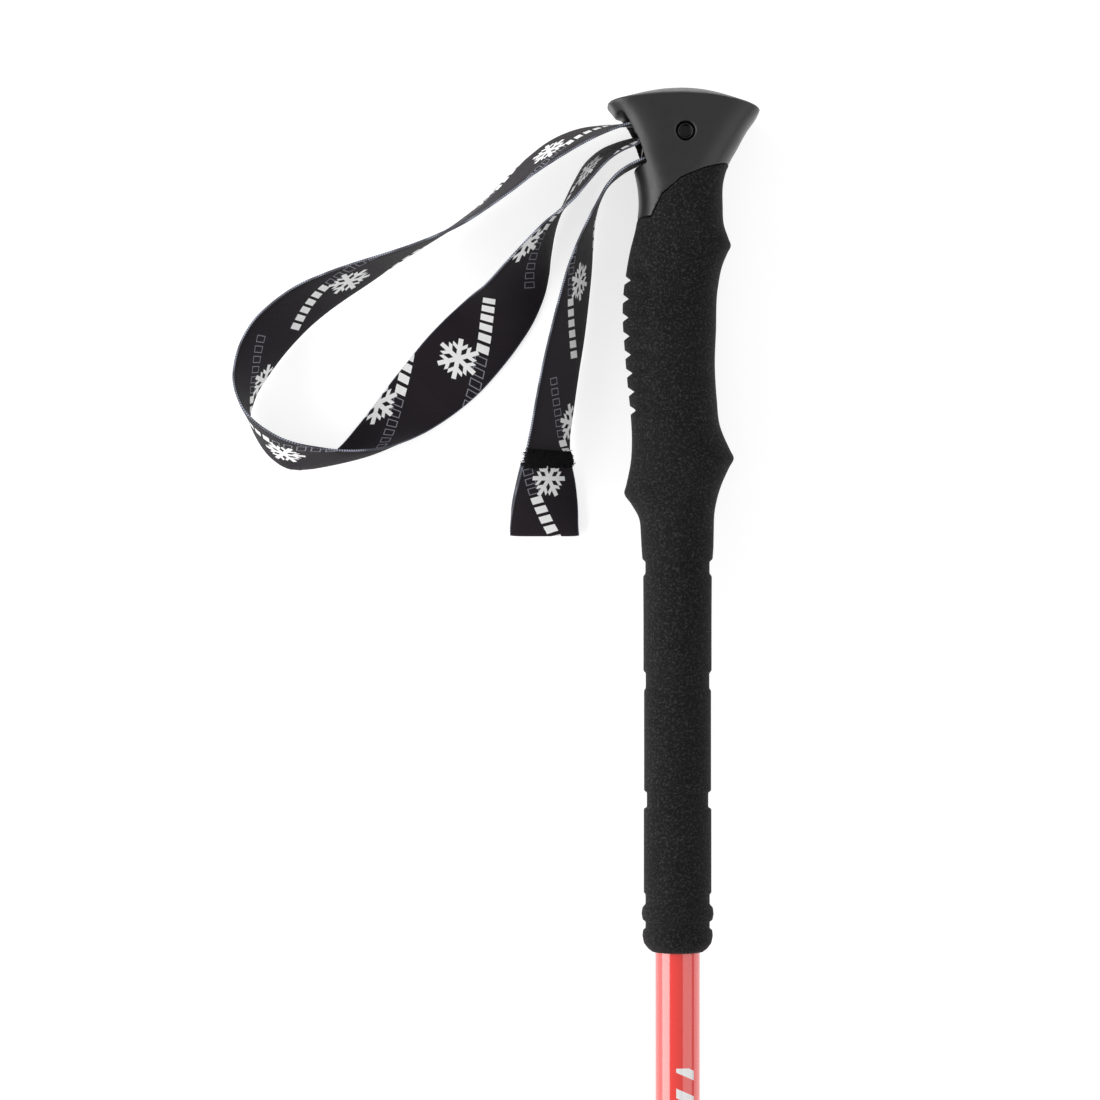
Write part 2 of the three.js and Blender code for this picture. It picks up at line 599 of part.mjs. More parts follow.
function wristStrap() {
  const first = STRAP_ROUTE.map(([edge]) => tablePoint(edge));
  const second = STRAP_ROUTE.map(([, edge]) => tablePoint(edge));
  const rings = first.map((edge, i) => {
    const before = Math.max(i - 1, 0);
    const after = Math.min(i + 1, first.length - 1);
    const along = first[after].clone().add(second[after]).sub(first[before]).sub(second[before]);
    const across = second[i].clone().sub(edge);
    const thick = along.cross(across).setLength(STRAP_THICKNESS / 2);
    const corner = (point, sign) => point.clone().addScaledVector(thick, sign);
    return [corner(edge, 1), corner(second[i], 1), corner(second[i], -1), corner(edge, -1)];
  });
  return skin(rings);
}

// ---------------------------------------------------------------- materials and assembly

function finish(color, roughness, metalness = 0) {
  return () => new THREE.MeshStandardMaterial({ color, roughness, metalness });
}

const FOAM = finish(0x1c1b1b, 0.95);
const HEAD_PLASTIC = finish(0x3a393b, 0.45);
const WEBBING = finish(0x2d282d, 0.9);
const BLACK_PLASTIC = finish(0x151516, 0.4);
const RED_TUBE = finish(0xe03028, 0.28, 0.35);
const BLACK_TUBE = finish(0x1a1a1c, 0.35, 0.4);
const STEEL = finish(0xb4b6ba, 0.3, 1);
const CARBIDE = finish(0x6f7278, 0.35, 1);
const GREY_PLASTIC = finish(0x8a8c90, 0.5);

const poleGroup = new THREE.Group();
poleGroup.rotation.x = -TILT;
poleGroup.position.set(AXIS_X, HEAD_Y, AXIS_HEIGHT);
const assembly = new THREE.Group();
assembly.add(poleGroup);

function add(name, geometry, material, parent = poleGroup) {
  const mesh = new THREE.Mesh(closed(geometry), material());
  mesh.name = name;
  parent.add(mesh);
}

add("upper_tube", ring(UPPER_TUBE.outer, UPPER_TUBE.inner, UPPER_TUBE.top, UPPER_TUBE.end), RED_TUBE);
add("grip_head", gripHead(), HEAD_PLASTIC);
add("foam_grip", foamGrip(), FOAM);
add("strap_pin", strapPin(), STEEL);
add("strap_wedge", strapWedge(), BLACK_PLASTIC);
add("wrist_strap", wristStrap(), WEBBING, assembly);

const LOCKS = [
  { name: "upper", outerTube: UPPER_TUBE, innerTube: MIDDLE_TUBE },
  { name: "lower", outerTube: MIDDLE_TUBE, innerTube: LOWER_TUBE },
];
LOCKS.forEach(({ name, outerTube, innerTube }) => {
  const top = outerTube.end - LOCK.seat;
  add(`${name}_lock_body`, lockBody(top, outerTube, innerTube), BLACK_PLASTIC);
  add(`${name}_lock_lever`, lockLever(top, outerTube), RED_TUBE);
  add(`${name}_lock_barrel`, lockBarrel(top), STEEL);
  add(`${name}_lock_screw`, lockScrew(top), STEEL);
  add(`${name}_lock_nut`, lockNut(top), GREY_PLASTIC);
});

add("middle_tube", ring(MIDDLE_TUBE.outer, MIDDLE_TUBE.inner, MIDDLE_TUBE.top, MIDDLE_TUBE.end), BLACK_TUBE);
add("middle_guide_bush", guideBush(MIDDLE_TUBE, UPPER_TUBE), GREY_PLASTIC);
add("lower_tube", ring(LOWER_TUBE.outer, LOWER_TUBE.inner, LOWER_TUBE.top, LOWER_TUBE.end), BLACK_TUBE);
add("lower_guide_bush", guideBush(LOWER_TUBE, MIDDLE_TUBE), GREY_PLASTIC);
add("tip_ferrule", tipFerrule(), BLACK_PLASTIC);
add("basket", basket(), BLACK_PLASTIC);
add("carbide_tip", carbideTip(), CARBIDE);

export default assembly;
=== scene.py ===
"""Ski touring pole lying on a white table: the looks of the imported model.

Metres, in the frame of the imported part. Shapes are worked out in millimetres, as x from the
pole's axis, a station s down the axis from the top of the head, and z across the pole.
"""

import json
import math
import random

import bpy
import bmesh
import numpy as np
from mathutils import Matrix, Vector


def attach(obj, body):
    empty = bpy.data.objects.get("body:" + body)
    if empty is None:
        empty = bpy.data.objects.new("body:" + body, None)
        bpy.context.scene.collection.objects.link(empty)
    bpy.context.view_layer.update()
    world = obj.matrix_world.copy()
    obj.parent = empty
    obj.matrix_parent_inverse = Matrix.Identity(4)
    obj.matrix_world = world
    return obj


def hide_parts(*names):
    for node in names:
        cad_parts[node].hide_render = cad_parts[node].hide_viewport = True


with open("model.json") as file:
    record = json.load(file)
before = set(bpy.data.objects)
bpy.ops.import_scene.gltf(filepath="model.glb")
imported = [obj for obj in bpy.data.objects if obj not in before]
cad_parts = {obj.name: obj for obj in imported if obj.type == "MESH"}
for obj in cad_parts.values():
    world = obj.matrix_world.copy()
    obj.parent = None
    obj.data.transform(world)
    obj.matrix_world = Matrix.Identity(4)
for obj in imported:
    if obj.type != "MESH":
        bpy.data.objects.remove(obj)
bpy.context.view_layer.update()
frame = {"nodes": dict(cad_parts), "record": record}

MM = 0.001
POLE_LENGTH = 1150.0
UV_UNIT = 100.0  # millimetres in one unit of a UV map
NODES = frame["nodes"]
MOUNT = next(m for m in frame["record"]["mounts"] if m["name"] == "tip_end")
DOWN = Vector(MOUNT["axis"]).normalized()
HEAD_TOP = Vector(MOUNT["pos_m"]) - DOWN * POLE_LENGTH * MM
ACROSS = Vector((1, 0, 0)).cross(-DOWN)
scene = bpy.context.scene


# ---------------------------------------------------------------- places and meshes

def pole_points(points):
    """World points of [x, s, z] rows given in the pole's own frame, in millimetres."""
    rows = np.asarray(points, float) * MM
    place = np.array(HEAD_TOP) + rows[:, :1] * [1, 0, 0]
    return place + rows[:, 1:2] * np.array(DOWN) + rows[:, 2:] * np.array(ACROSS)


def table_points(points):
    """World points of [x, s, height above the table] rows, in millimetres."""
    rows = np.asarray(points, float) * MM
    return np.stack([HEAD_TOP.x + rows[:, 0], HEAD_TOP.y - rows[:, 1], rows[:, 2]], axis=1)


def new_object(name, vertices, faces, materials, smooth=True):
    mesh = bpy.data.meshes.new(name)
    mesh.from_pydata([tuple(v) for v in vertices], [], [tuple(f) for f in faces])
    for material in materials:
        mesh.materials.append(material)
    if smooth:
        mesh.shade_smooth()
    obj = bpy.data.objects.new(name, mesh)
    scene.collection.objects.link(obj)
    return obj


def outward(obj):
    """Turns every face outwards."""
    work = bmesh.new()
    work.from_mesh(obj.data)
    bmesh.ops.recalc_face_normals(work, faces=work.faces)
    work.to_mesh(obj.data)
    work.free()
    return obj


def sharpen(obj, degrees=32):
    obj.data.set_sharp_from_angle(angle=math.radians(degrees))
    return obj


def apply_modifiers(obj):
    """Leaves the evaluated mesh on the object and no modifier."""
    evaluated = obj.evaluated_get(bpy.context.evaluated_depsgraph_get())
    mesh = bpy.data.meshes.new_from_object(evaluated)
    obj.modifiers.clear()
    obj.data = mesh
    return obj


def piece(obj, body, slot, *nodes):
    """The object rides on a body and stands for these CAD nodes, which it hides. Its slot is not used."""
    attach(obj, body)
    if nodes:
        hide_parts(*nodes)
    return obj


def grid_faces(rings, count, wrap=True):
    faces = []
    for r in range(rings - 1):
        for i in range(count if wrap else count - 1):
            a = r * count + i
            b = r * count + (i + 1) % count
            faces.append((a, b, b + count, a + count))
    return faces


def capped_faces(rings, count):
    """Faces of a closed skin over rings, with one flat face over each end."""
    last = (rings - 1) * count
    return grid_faces(rings, count) + [tuple(range(count))[::-1], tuple(range(last, last + count))]


def smooth_line(points):
    """A smooth function through (station, value) points."""
    xs, ys = (np.array(column, float) for column in zip(*points))
    slopes = np.gradient(ys, xs)

    def value(s):
        s = np.clip(s, xs[0], xs[-1])
        i = np.clip(np.searchsorted(xs, s, side="right") - 1, 0, len(xs) - 2)
        span = xs[i + 1] - xs[i]
        t = (s - xs[i]) / span
        start = (1 + 2 * t) * (1 - t) ** 2 * ys[i] + t * (1 - t) ** 2 * span * slopes[i]
        return start + t * t * (3 - 2 * t) * ys[i + 1] + t * t * (t - 1) * span * slopes[i + 1]

    return value


def smooth_step(value, low, high):
    t = np.clip((value - low) / (high - low), 0, 1)
    return t * t * (3 - 2 * t)


def rounded(profile, radius, steps=3, closed=False):
    """A polyline with each corner replaced by a short curve."""
    points = [Vector(p) for p in profile]
    count = len(points)
    result = []
    for i, corner in enumerate(points):
        if not closed and i in (0, count - 1):
            result.append(corner)
            continue
        before = points[i - 1] - corner
        after = points[(i + 1) % count] - corner
        reach = min(radius, 0.45 * before.length, 0.45 * after.length)
        start = corner + before.normalized() * reach
        end = corner + after.normalized() * reach
        for k in range(steps + 1):
            t = k / steps
            result.append(start * (1 - t) ** 2 + corner * 2 * t * (1 - t) + end * t * t)
    return [tuple(p) for p in result]


def turned(name, profile, materials, segments=96, corner=0.35, closed=True, centre=(0, 0)):
    """A solid of revolution parallel to the pole's axis, with UVs in decimetres round and along.

    The profile is a list of (radius, station). An open one starts and ends on the axis.
    """
    outline = rounded(profile, corner, closed=closed)
    count = len(outline)
    vertices = []
    for k in range(segments):
        angle = 2 * math.pi * k / segments
        for radius, s in outline:
            vertices.append((centre[0] + radius * math.cos(angle), s, centre[1] + radius * math.sin(angle)))
    faces = []
    for k in range(segments):
        for i in range(count if closed else count - 1):
            j = (i + 1) % count
            other = (k + 1) % segments
            faces.append((k * count + i, k * count + j, other * count + j, other * count + i))
    obj = new_object(name, pole_points(vertices), faces, materials)
    widest = max(radius for radius, _ in outline)
    layer = obj.data.uv_layers.new(name="surface")
    for polygon in obj.data.polygons:
        k = polygon.index // (count if closed else count - 1)
        for loop in polygon.loop_indices:
            vertex = obj.data.loops[loop].vertex_index
            column = k if vertex // count == k else k + 1
            turn = 2 * math.pi * column / segments
            layer.data[loop].uv = (turn * widest / UV_UNIT, vertices[vertex][1] / UV_UNIT)
    merge(obj)
    return sharpen(outward(obj))


def merge(obj, distance=1e-6):
    work = bmesh.new()
    work.from_mesh(obj.data)
    bmesh.ops.remove_doubles(work, verts=work.verts, dist=distance)
    bmesh.ops.dissolve_degenerate(work, edges=work.edges, dist=distance)
    work.to_mesh(obj.data)
    work.free()


# ---------------------------------------------------------------- materials

class Surface:
    """A node material: a Principled shader and short calls that add nodes to it."""

    def __init__(self, name, color, roughness, **sockets):
        self.material = bpy.data.materials.new(name)
        self.material.use_nodes = True
        self.tree = self.material.node_tree
        self.shader = next(n for n in self.tree.nodes if n.type == "BSDF_PRINCIPLED")
        self.shader.inputs["Base Color"].default_value = (*color, 1)
        self.shader.inputs["Roughness"].default_value = roughness
        for socket, value in sockets.items():
            self.shader.inputs[socket.replace("_", " ")].default_value = value
        self.bumps = None

    def node(self, kind, inputs=None, **settings):
        node = self.tree.nodes.new("ShaderNode" + kind)
        for key, value in settings.items():
            setattr(node, key, value)
        for key, value in (inputs or {}).items():
            if isinstance(value, bpy.types.NodeSocket):
                self.tree.links.new(value, node.inputs[key])
            else:
                node.inputs[key].default_value = value
        return node

    def place(self):
        return self.node("TexCoord").outputs["Object"]

    def uv(self, name):
        return self.node("UVMap", uv_map=name).outputs["UV"]

    def math(self, operation, a, b=0.0, c=0.0):
        node = self.node("Math", {0: a, 1: b, 2: c}, operation=operation)
        return node.outputs[0]

    def noise(self, scale, detail=3.0, roughness=0.5, vector=None):
        vector = vector or self.place()
        inputs = {"Vector": vector, "Scale": scale, "Detail": detail, "Roughness": roughness}
        return self.node("TexNoise", inputs).outputs["Fac"]

    def ramp(self, factor, *stops):
        """Colours or greys at positions, as (position, value) stops."""
        node = self.node("ValToRGB", {"Fac": factor})
        elements = node.color_ramp.elements
        while len(elements) < len(stops):
            elements.new(0.5)
        for element, (position, value) in zip(elements, stops):
            element.position = position
            color = value if isinstance(value, tuple) else (value, value, value)
            element.color = (*color, 1)
        return node.outputs["Color"]

    def mix(self, factor, a, b):
        node = self.node("Mix", {0: factor, 6: a, 7: b}, data_type="RGBA")
        return node.outputs[2]

    def color(self, value):
        self.tree.links.new(value, self.shader.inputs["Base Color"])

    def roughness(self, value):
        self.tree.links.new(value, self.shader.inputs["Roughness"])

    def bump(self, height, distance, strength=1.0):
        """Adds a bump of that height in metres on top of the earlier ones."""
        inputs = {"Height": height, "Distance": distance, "Strength": strength}
        if self.bumps is not None:
            inputs["Normal"] = self.bumps
        self.bumps = self.node("Bump", inputs).outputs["Normal"]
        self.tree.links.new(self.bumps, self.shader.inputs["Normal"])


def rgba(red, green, blue):
    return (red, green, blue, 1)


def foam_material():
    """Closed-cell foam: near black, with fine pale cells and a soft, uneven skin."""
    s = Surface("eva_foam", (0.006, 0.0055, 0.0057), 0.9, Sheen_Weight=0.03, Sheen_Roughness=0.5)
    s.shader.inputs["Specular IOR Level"].default_value = 0.16
    patches = s.noise(45, 3)
    cells = s.node("TexVoronoi", {"Vector": s.place(), "Scale": 1500}).outputs["Distance"]
    flecks = s.ramp(s.noise(1300, 3, 0.7), (0.0, 0.0), (0.5, 0.0), (0.7, 1.0))
    dark = s.mix(patches, rgba(0.0028, 0.0026, 0.0027), rgba(0.011, 0.0103, 0.0106))
    s.color(s.mix(s.math("MULTIPLY", flecks, 0.55), dark, rgba(0.07, 0.068, 0.07)))
    s.bump(cells, 0.00012, 0.55)
    s.bump(s.noise(700, 4, 0.65), 0.00025, 0.6)
    return s.material


def head_material():
    """Moulded plastic with a fine spark-eroded grain and faint handling marks."""
    s = Surface("head_plastic", (0.016, 0.0155, 0.0162), 0.38, IOR=1.5)
    patches = s.noise(90, 4, 0.6)
    s.color(s.mix(patches, rgba(0.0135, 0.013, 0.0137), rgba(0.0195, 0.0188, 0.0197)))
    s.roughness(s.ramp(s.noise(260, 4, 0.7), (0.3, 0.33), (0.7, 0.44)))
    s.bump(s.noise(3200, 2, 0.5), 0.00004, 0.5)
    s.bump(s.noise(380, 3, 0.6), 0.00006, 0.35)
    return s.material


def lacquer_material():
    """Gloss red lacquer on the upper tube, with plain slanted white bars below the grip."""
    s = Surface(
        "red_lacquer", (0.8, 0.026, 0.018), 0.16, Coat_Weight=1.0, Coat_Roughness=0.05, Coat_IOR=1.75,
    )
    s.shader.inputs["Specular IOR Level"].default_value = 0.6
    place = s.node("SeparateXYZ", {0: s.uv("surface")})
    around = s.math("MULTIPLY", place.outputs["X"], UV_UNIT)
    along = s.math("MULTIPLY", place.outputs["Y"], UV_UNIT)
    centre = s.math("ABSOLUTE", s.math("SUBTRACT", around, 2 * math.pi * 8 * 0.25 - 2.6))
    slanted = s.math("ADD", along, s.math("MULTIPLY", around, 0.45))
    bars = s.math("LESS_THAN", s.math("MODULO", slanted, 9.0), 3.4)
    printed = s.math("MULTIPLY", bars, s.math("LESS_THAN", centre, 3.4))
    start = s.math("GREATER_THAN", along, 347.0)
    end = s.math("LESS_THAN", along, 425.0)
    printed = s.math("MULTIPLY", printed, s.math("MULTIPLY", start, end))
    red = s.mix(s.noise(900, 2), rgba(0.78, 0.024, 0.016), rgba(0.83, 0.029, 0.02))
    s.color(s.mix(printed, red, rgba(0.82, 0.82, 0.82)))
    s.bump(s.noise(500, 2), 0.00001, 0.3)
    return s.material


def black_tube_material():
    """Satin black anodised tube with fine draw lines and length marks every centimetre."""
    s = Surface("black_anodised", (0.02, 0.02, 0.022), 0.32, Metallic=0.35)
    place = s.node("SeparateXYZ", {0: s.uv("surface")})
    around = s.math("MULTIPLY", place.outputs["X"], UV_UNIT)
    along = s.math("MULTIPLY", place.outputs["Y"], UV_UNIT)
    line = s.math("LESS_THAN", s.math("MODULO", along, 10.0), 0.7)
    long_line = s.math("LESS_THAN", s.math("MODULO", along, 50.0), 0.9)
    across = s.math("ABSOLUTE", s.math("SUBTRACT", around, 10.5))
    reach = s.math("ADD", s.math("MULTIPLY", long_line, 1.6), 1.8)
    marks = s.math("MULTIPLY", s.math("MAXIMUM", line, long_line), s.math("LESS_THAN", across, reach))
    base = s.mix(s.noise(120, 3), rgba(0.016, 0.016, 0.018), rgba(0.026, 0.026, 0.028))
    s.color(s.mix(marks, base, rgba(0.62, 0.62, 0.62)))
    stretch = s.node("Mapping", {"Vector": s.place(), "Scale": (1, 0.02, 1)}).outputs[0]
    s.bump(s.noise(4000, 2, 0.5, stretch), 0.00001, 0.35)
    return s.material


def plastic_material(name, color, roughness, grain=0.00003):
    """Injection-moulded plastic with a slight grain and uneven gloss."""
    s = Surface(name, color, roughness)
    darker = rgba(*(0.85 * c for c in color))
    lighter = rgba(*(1.15 * c for c in color))
    s.color(s.mix(s.noise(140, 4, 0.6), darker, lighter))
    s.roughness(s.ramp(s.noise(320, 3, 0.6), (0.3, roughness - 0.06), (0.7, roughness + 0.08)))
    s.bump(s.noise(2600, 2, 0.5), grain, 0.6)
    return s.material


def metal_material(name, color, roughness):
    """Turned or ground metal with fine lines round it."""
    s = Surface(name, color, roughness, Metallic=1.0)
    s.color(s.mix(s.noise(600, 3), rgba(*(0.9 * c for c in color)), rgba(*color)))
    stretch = s.node("Mapping", {"Vector": s.place(), "Scale": (1, 12, 1)}).outputs[0]
    s.bump(s.noise(900, 2, 0.6, stretch), 0.00001, 0.5)
    return s.material


# The print is two slanted rows of bars that repeat along the strap. A row is outlined bars up to
# its middle and solid bars after it, with a snowflake above the middle. Millimetres.
PRINT_PERIOD = 80.3
ROW_STEP = 50.0
ROW_ANGLE = math.radians(29)
ROW_LENGTH = 24.3
ROW_HALF_HEIGHT = 2.1
ROW_ACROSS = (4.6, -6.7)
BAR_PITCH = 4.05
SNOWFLAKE_AT = (-3.1, 7.5)
SNOWFLAKE_RADIUS = 7.3
# Where a row's middle lies along the strap, on each face
PRINT_ON_FACE = 220.6
PRINT_ON_BACK = 131.0
# The print's own distance along the strap at places along the strap: the cloth is stretched a
# little where it twists and under the stitching, and more inside the head
PRINT_STRETCH = (
    (0, 0), (296, 296), (350, 340.9), (405, 395.9), (480, 498.3), (577, 595.3), (585, 612.1),
    (640, 667.1),
)


def wrapped(s, value, period):
    """The value less the nearest whole number of periods."""
    far = s.math("ADD", value, 20.5 * period)
    return s.math("SUBTRACT", s.math("MODULO", far, period), period / 2)


def bar_row(s, t, off):
    """One row of bars: where it is solid and where it is an outline."""
    lean = s.math("SUBTRACT", t, s.math("MULTIPLY", off, 0.25))
    from_bar = s.math("ABSOLUTE", wrapped(s, s.math("SUBTRACT", lean, BAR_PITCH / 2), BAR_PITCH))
    height = s.math("ABSOLUTE", off)
    in_height = s.math("LESS_THAN", height, ROW_HALF_HEIGHT)
    bar = s.math("MULTIPLY", s.math("LESS_THAN", from_bar, 1.4), in_height)
    core = s.math("LESS_THAN", from_bar, 1.05)
    core = s.math("MULTIPLY", core, s.math("LESS_THAN", height, ROW_HALF_HEIGHT - 0.35))
    in_row = s.math("LESS_THAN", s.math("ABSOLUTE", t), ROW_LENGTH)
    ahead = s.math("GREATER_THAN", t, 0.0)
    solid = s.math("MULTIPLY", s.math("MULTIPLY", bar, ahead), in_row)
    outline = s.math("MULTIPLY", s.math("SUBTRACT", bar, core), s.math("SUBTRACT", 1.0, ahead))
    return solid, s.math("MULTIPLY", outline, in_row)


def snowflake(s, u, w):
    """A six-armed snowflake with side barbs, about the middle of its cell."""
    radius = s.math("SQRT", s.math("ADD", s.math("MULTIPLY", u, u), s.math("MULTIPLY", w, w)))
    sixth = math.pi / 3
    fold = wrapped(s, s.math("ARCTAN2", w, u), sixth)
    side = s.math("ABSOLUTE", s.math("MULTIPLY", radius, s.math("SINE", fold)))
    out = s.math("MULTIPLY", radius, s.math("COSINE", fold))
    arm = s.math("MULTIPLY", s.math("LESS_THAN", side, 0.8), s.math("LESS_THAN", out, SNOWFLAKE_RADIUS))
    slope = s.math("SUBTRACT", out, s.math("MULTIPLY", side, 0.75))
    barb = s.math("LESS_THAN", s.math("ABSOLUTE", s.math("SUBTRACT", slope, 3.3)), 0.75)
    barb = s.math("MULTIPLY", barb, s.math("LESS_THAN", side, 2.5))
    return s.math("MAXIMUM", arm, barb)


def printed_marks(s, along, across, anchor, reading):
    """Generic print on the webbing: where it is solid white, and where thin grey lines run.

    A row climbs to the right as its own face is looked at, so reading is 1 or -1.
    """
    white = None
    for k, place in enumerate(ROW_ACROSS):
        start = anchor + reading * ROW_STEP * k
        u = wrapped(s, s.math("MULTIPLY", s.math("SUBTRACT", along, start), reading), PRINT_PERIOD)
        w = s.math("SUBTRACT", place, across)
        cos = math.cos(ROW_ANGLE)
        sin = math.sin(ROW_ANGLE)
        t = s.math("ADD", s.math("MULTIPLY", u, cos), s.math("MULTIPLY", w, sin))
        off = s.math("SUBTRACT", s.math("MULTIPLY", w, cos), s.math("MULTIPLY", u, sin))
        solid, outline = bar_row(s, t, off)
        flake_t = s.math("SUBTRACT", t, SNOWFLAKE_AT[0])
        flake_off = s.math("SUBTRACT", off, SNOWFLAKE_AT[1])
        solid = s.math("MAXIMUM", solid, snowflake(s, flake_t, flake_off))
        white = s.math("MAXIMUM", white, solid) if k else solid
        grey = s.math("MAXIMUM", grey, outline) if k else outline
    return white, grey


def webbing_material(name, anchor, reading):
    """One face of the printed twill webbing. UVs run along and across it, in decimetres."""
    ground = (0.0135, 0.0098, 0.0135)
    pale = 0.95
    s = Surface(name, ground, 0.8, Sheen_Weight=0.06, Sheen_Roughness=0.4)
    s.shader.inputs["Specular IOR Level"].default_value = 0.22
    place = s.node("SeparateXYZ", {0: s.uv("cloth")})
    along = s.math("MULTIPLY", place.outputs["X"], UV_UNIT)
    across = s.math("MULTIPLY", place.outputs["Y"], UV_UNIT)
    print_place = s.node("SeparateXYZ", {0: s.uv("print")})
    print_along = s.math("MULTIPLY", print_place.outputs["X"], UV_UNIT)
    white, grey = printed_marks(s, print_along, across, anchor, reading)
    rib = 2 * math.pi / 0.62
    twill = s.math("SINE", s.math("MULTIPLY", s.math("ADD", along, s.math("MULTIPLY", across, 0.55)), rib))
    yarn = s.math("SINE", s.math("MULTIPLY", across, 2 * math.pi / 0.5))
    weave = s.math("ADD", s.math("MULTIPLY", twill, 0.6), s.math("MULTIPLY", yarn, 0.4))
    lit = s.math("MULTIPLY_ADD", weave, 0.5, 0.5)
    low = rgba(*(0.72 * c for c in ground))
    high = rgba(*(1.3 * c for c in ground))
    base = s.mix(lit, low, high)
    base = s.mix(s.math("MULTIPLY", s.noise(160, 3), 0.5), base, rgba(*(0.6 * c for c in ground)))
    base = s.mix(s.math("MULTIPLY", grey, 0.62), base, rgba(0.36, 0.36, 0.42))
    ink = s.math("MULTIPLY", white, s.math("MULTIPLY_ADD", lit, 0.06, 0.94))
    base = s.mix(ink, base, rgba(pale, pale, pale))
    edge = s.math("GREATER_THAN", s.math("ABSOLUTE", across), 12.15)
    dots = s.math("GREATER_THAN", s.math("SINE", s.math("MULTIPLY", along, 2 * math.pi / 0.9)), 0.1)
    loops = s.math("MULTIPLY", edge, s.math("MULTIPLY_ADD", dots, 0.3, 0.08))
    base = s.mix(loops, base, rgba(0.36, 0.39, 0.5))
    s.color(base)
    s.bump(weave, 0.00008, 0.7)
    return s.material


def selvedge_material():
    """The cut side of the webbing: pale loops between dark yarns."""
    s = Surface("webbing_edge", (0.16, 0.17, 0.22), 0.85)
    place = s.node("SeparateXYZ", {0: s.uv("cloth")})
    along = s.math("MULTIPLY", place.outputs["X"], UV_UNIT)
    loops = s.math("MULTIPLY_ADD", s.math("SINE", s.math("MULTIPLY", along, 2 * math.pi / 0.8)), 0.5, 0.5)
    patches = s.ramp(s.noise(120, 2), (0.4, 0.15), (0.62, 0.9))
    s.color(s.mix(s.math("MULTIPLY", loops, patches), rgba(0.03, 0.03, 0.038), rgba(0.5, 0.54, 0.66)))
    s.bump(loops, 0.0001, 0.7)
    return s.material


def thread_material():
    s = Surface("tack_thread", (0.004, 0.004, 0.0042), 0.85)
    s.shader.inputs["Specular IOR Level"].default_value = 0.15
    s.color(s.mix(s.noise(900, 3), rgba(0.002, 0.002, 0.0022), rgba(0.008, 0.008, 0.0085)))
    s.bump(s.noise(2500, 3), 0.00012, 0.8)
    return s.material


FOAM = foam_material()
HEAD_PLASTIC = head_material()
RED_LACQUER = lacquer_material()
BLACK_TUBE = black_tube_material()
BLACK_PLASTIC = plastic_material("black_plastic", (0.016, 0.016, 0.017), 0.42)
GREY_PLASTIC = plastic_material("grey_plastic", (0.23, 0.24, 0.25), 0.5)
RED_PLASTIC = plastic_material("red_lever_plastic", (0.62, 0.022, 0.016), 0.3)
STEEL = metal_material("polished_steel", (0.66, 0.67, 0.69), 0.22)
DARK_STEEL = metal_material("blackened_steel", (0.035, 0.035, 0.037), 0.3)
CARBIDE = metal_material("ground_carbide", (0.3, 0.31, 0.33), 0.36)
WEBBING_FACE = webbing_material("webbing_face", PRINT_ON_FACE, 1)
WEBBING_BACK = webbing_material("webbing_back", PRINT_ON_BACK, -1)
WEBBING_EDGE = selvedge_material()
THREAD = thread_material()


# ---------------------------------------------------------------- camera and light

CAMERA_X = -45.3
CAMERA_S = 164.1
CAMERA_HEIGHT = 1190.6
FOCAL_LENGTH = 107.9


def add_camera():
    data = bpy.data.cameras.new("camera")
    data.lens = FOCAL_LENGTH
    data.sensor_width = 36
    camera = bpy.data.objects.new("camera", data)
    camera.location = table_points([[CAMERA_X, CAMERA_S, CAMERA_HEIGHT]])[0]
    scene.collection.objects.link(camera)
    scene.camera = camera


def add_panel(name, off_vertical, distance, width, length, radiance):
    """A soft light panel beside the pole, at an angle from straight up, aimed at the grip."""
    data = bpy.data.lights.new(name, "AREA")
    data.shape = "RECTANGLE"
    data.size = width
    data.size_y = length
    data.energy = radiance * math.pi * width * length
    light = bpy.data.objects.new(name, data)
    angle = math.radians(off_vertical)
    target = Vector(table_points([[0, 180, 20]])[0])
    light.location = target + Vector((math.sin(angle), 0, math.cos(angle))) * distance
    light.rotation_euler = (0, angle, 0)
    scene.collection.objects.link(light)


def add_light():
    add_panel("left_panel", -66, 1.9, 1.55, 3.4, 3.4)
    add_panel("right_panel", 50, 2.0, 1.9, 3.4, 0.9)
    world = bpy.data.worlds.new("studio")
    world.use_nodes = True
    background = world.node_tree.nodes["Background"]
    background.inputs["Color"].default_value = (1, 1, 1, 1)
    background.inputs["Strength"].default_value = 0.42
    scene.world = world
    scene.view_settings.view_transform = "Standard"


def add_table():
    """A wide, plain white table top, lit a little from below so that shadows stay faint."""
    s = Surface("white_table", (0.5, 0.5, 0.5), 0.75, Emission_Color=(1, 1, 1, 1), Emission_Strength=0.72)
    s.color(s.mix(s.noise(3, 2), rgba(0.495, 0.495, 0.495), rgba(0.505, 0.505, 0.505)))
    half = 4.0
    corners = [(-half, -half, 0), (half, -half, 0), (half, half, 0), (-half, half, 0)]
    new_object("table", corners, [(0, 1, 2, 3)], [s.material], smooth=False)


# ---------------------------------------------------------------- wrist strap

STRAP_WIDTH = 25.0
STRAP_THICKNESS = 1.2
FOLD_START = (140.0, 165.0)
FOLD_END = (210.0, 235.0)
LOOP_CENTRE = (-100.0, 95.0, 0.0)

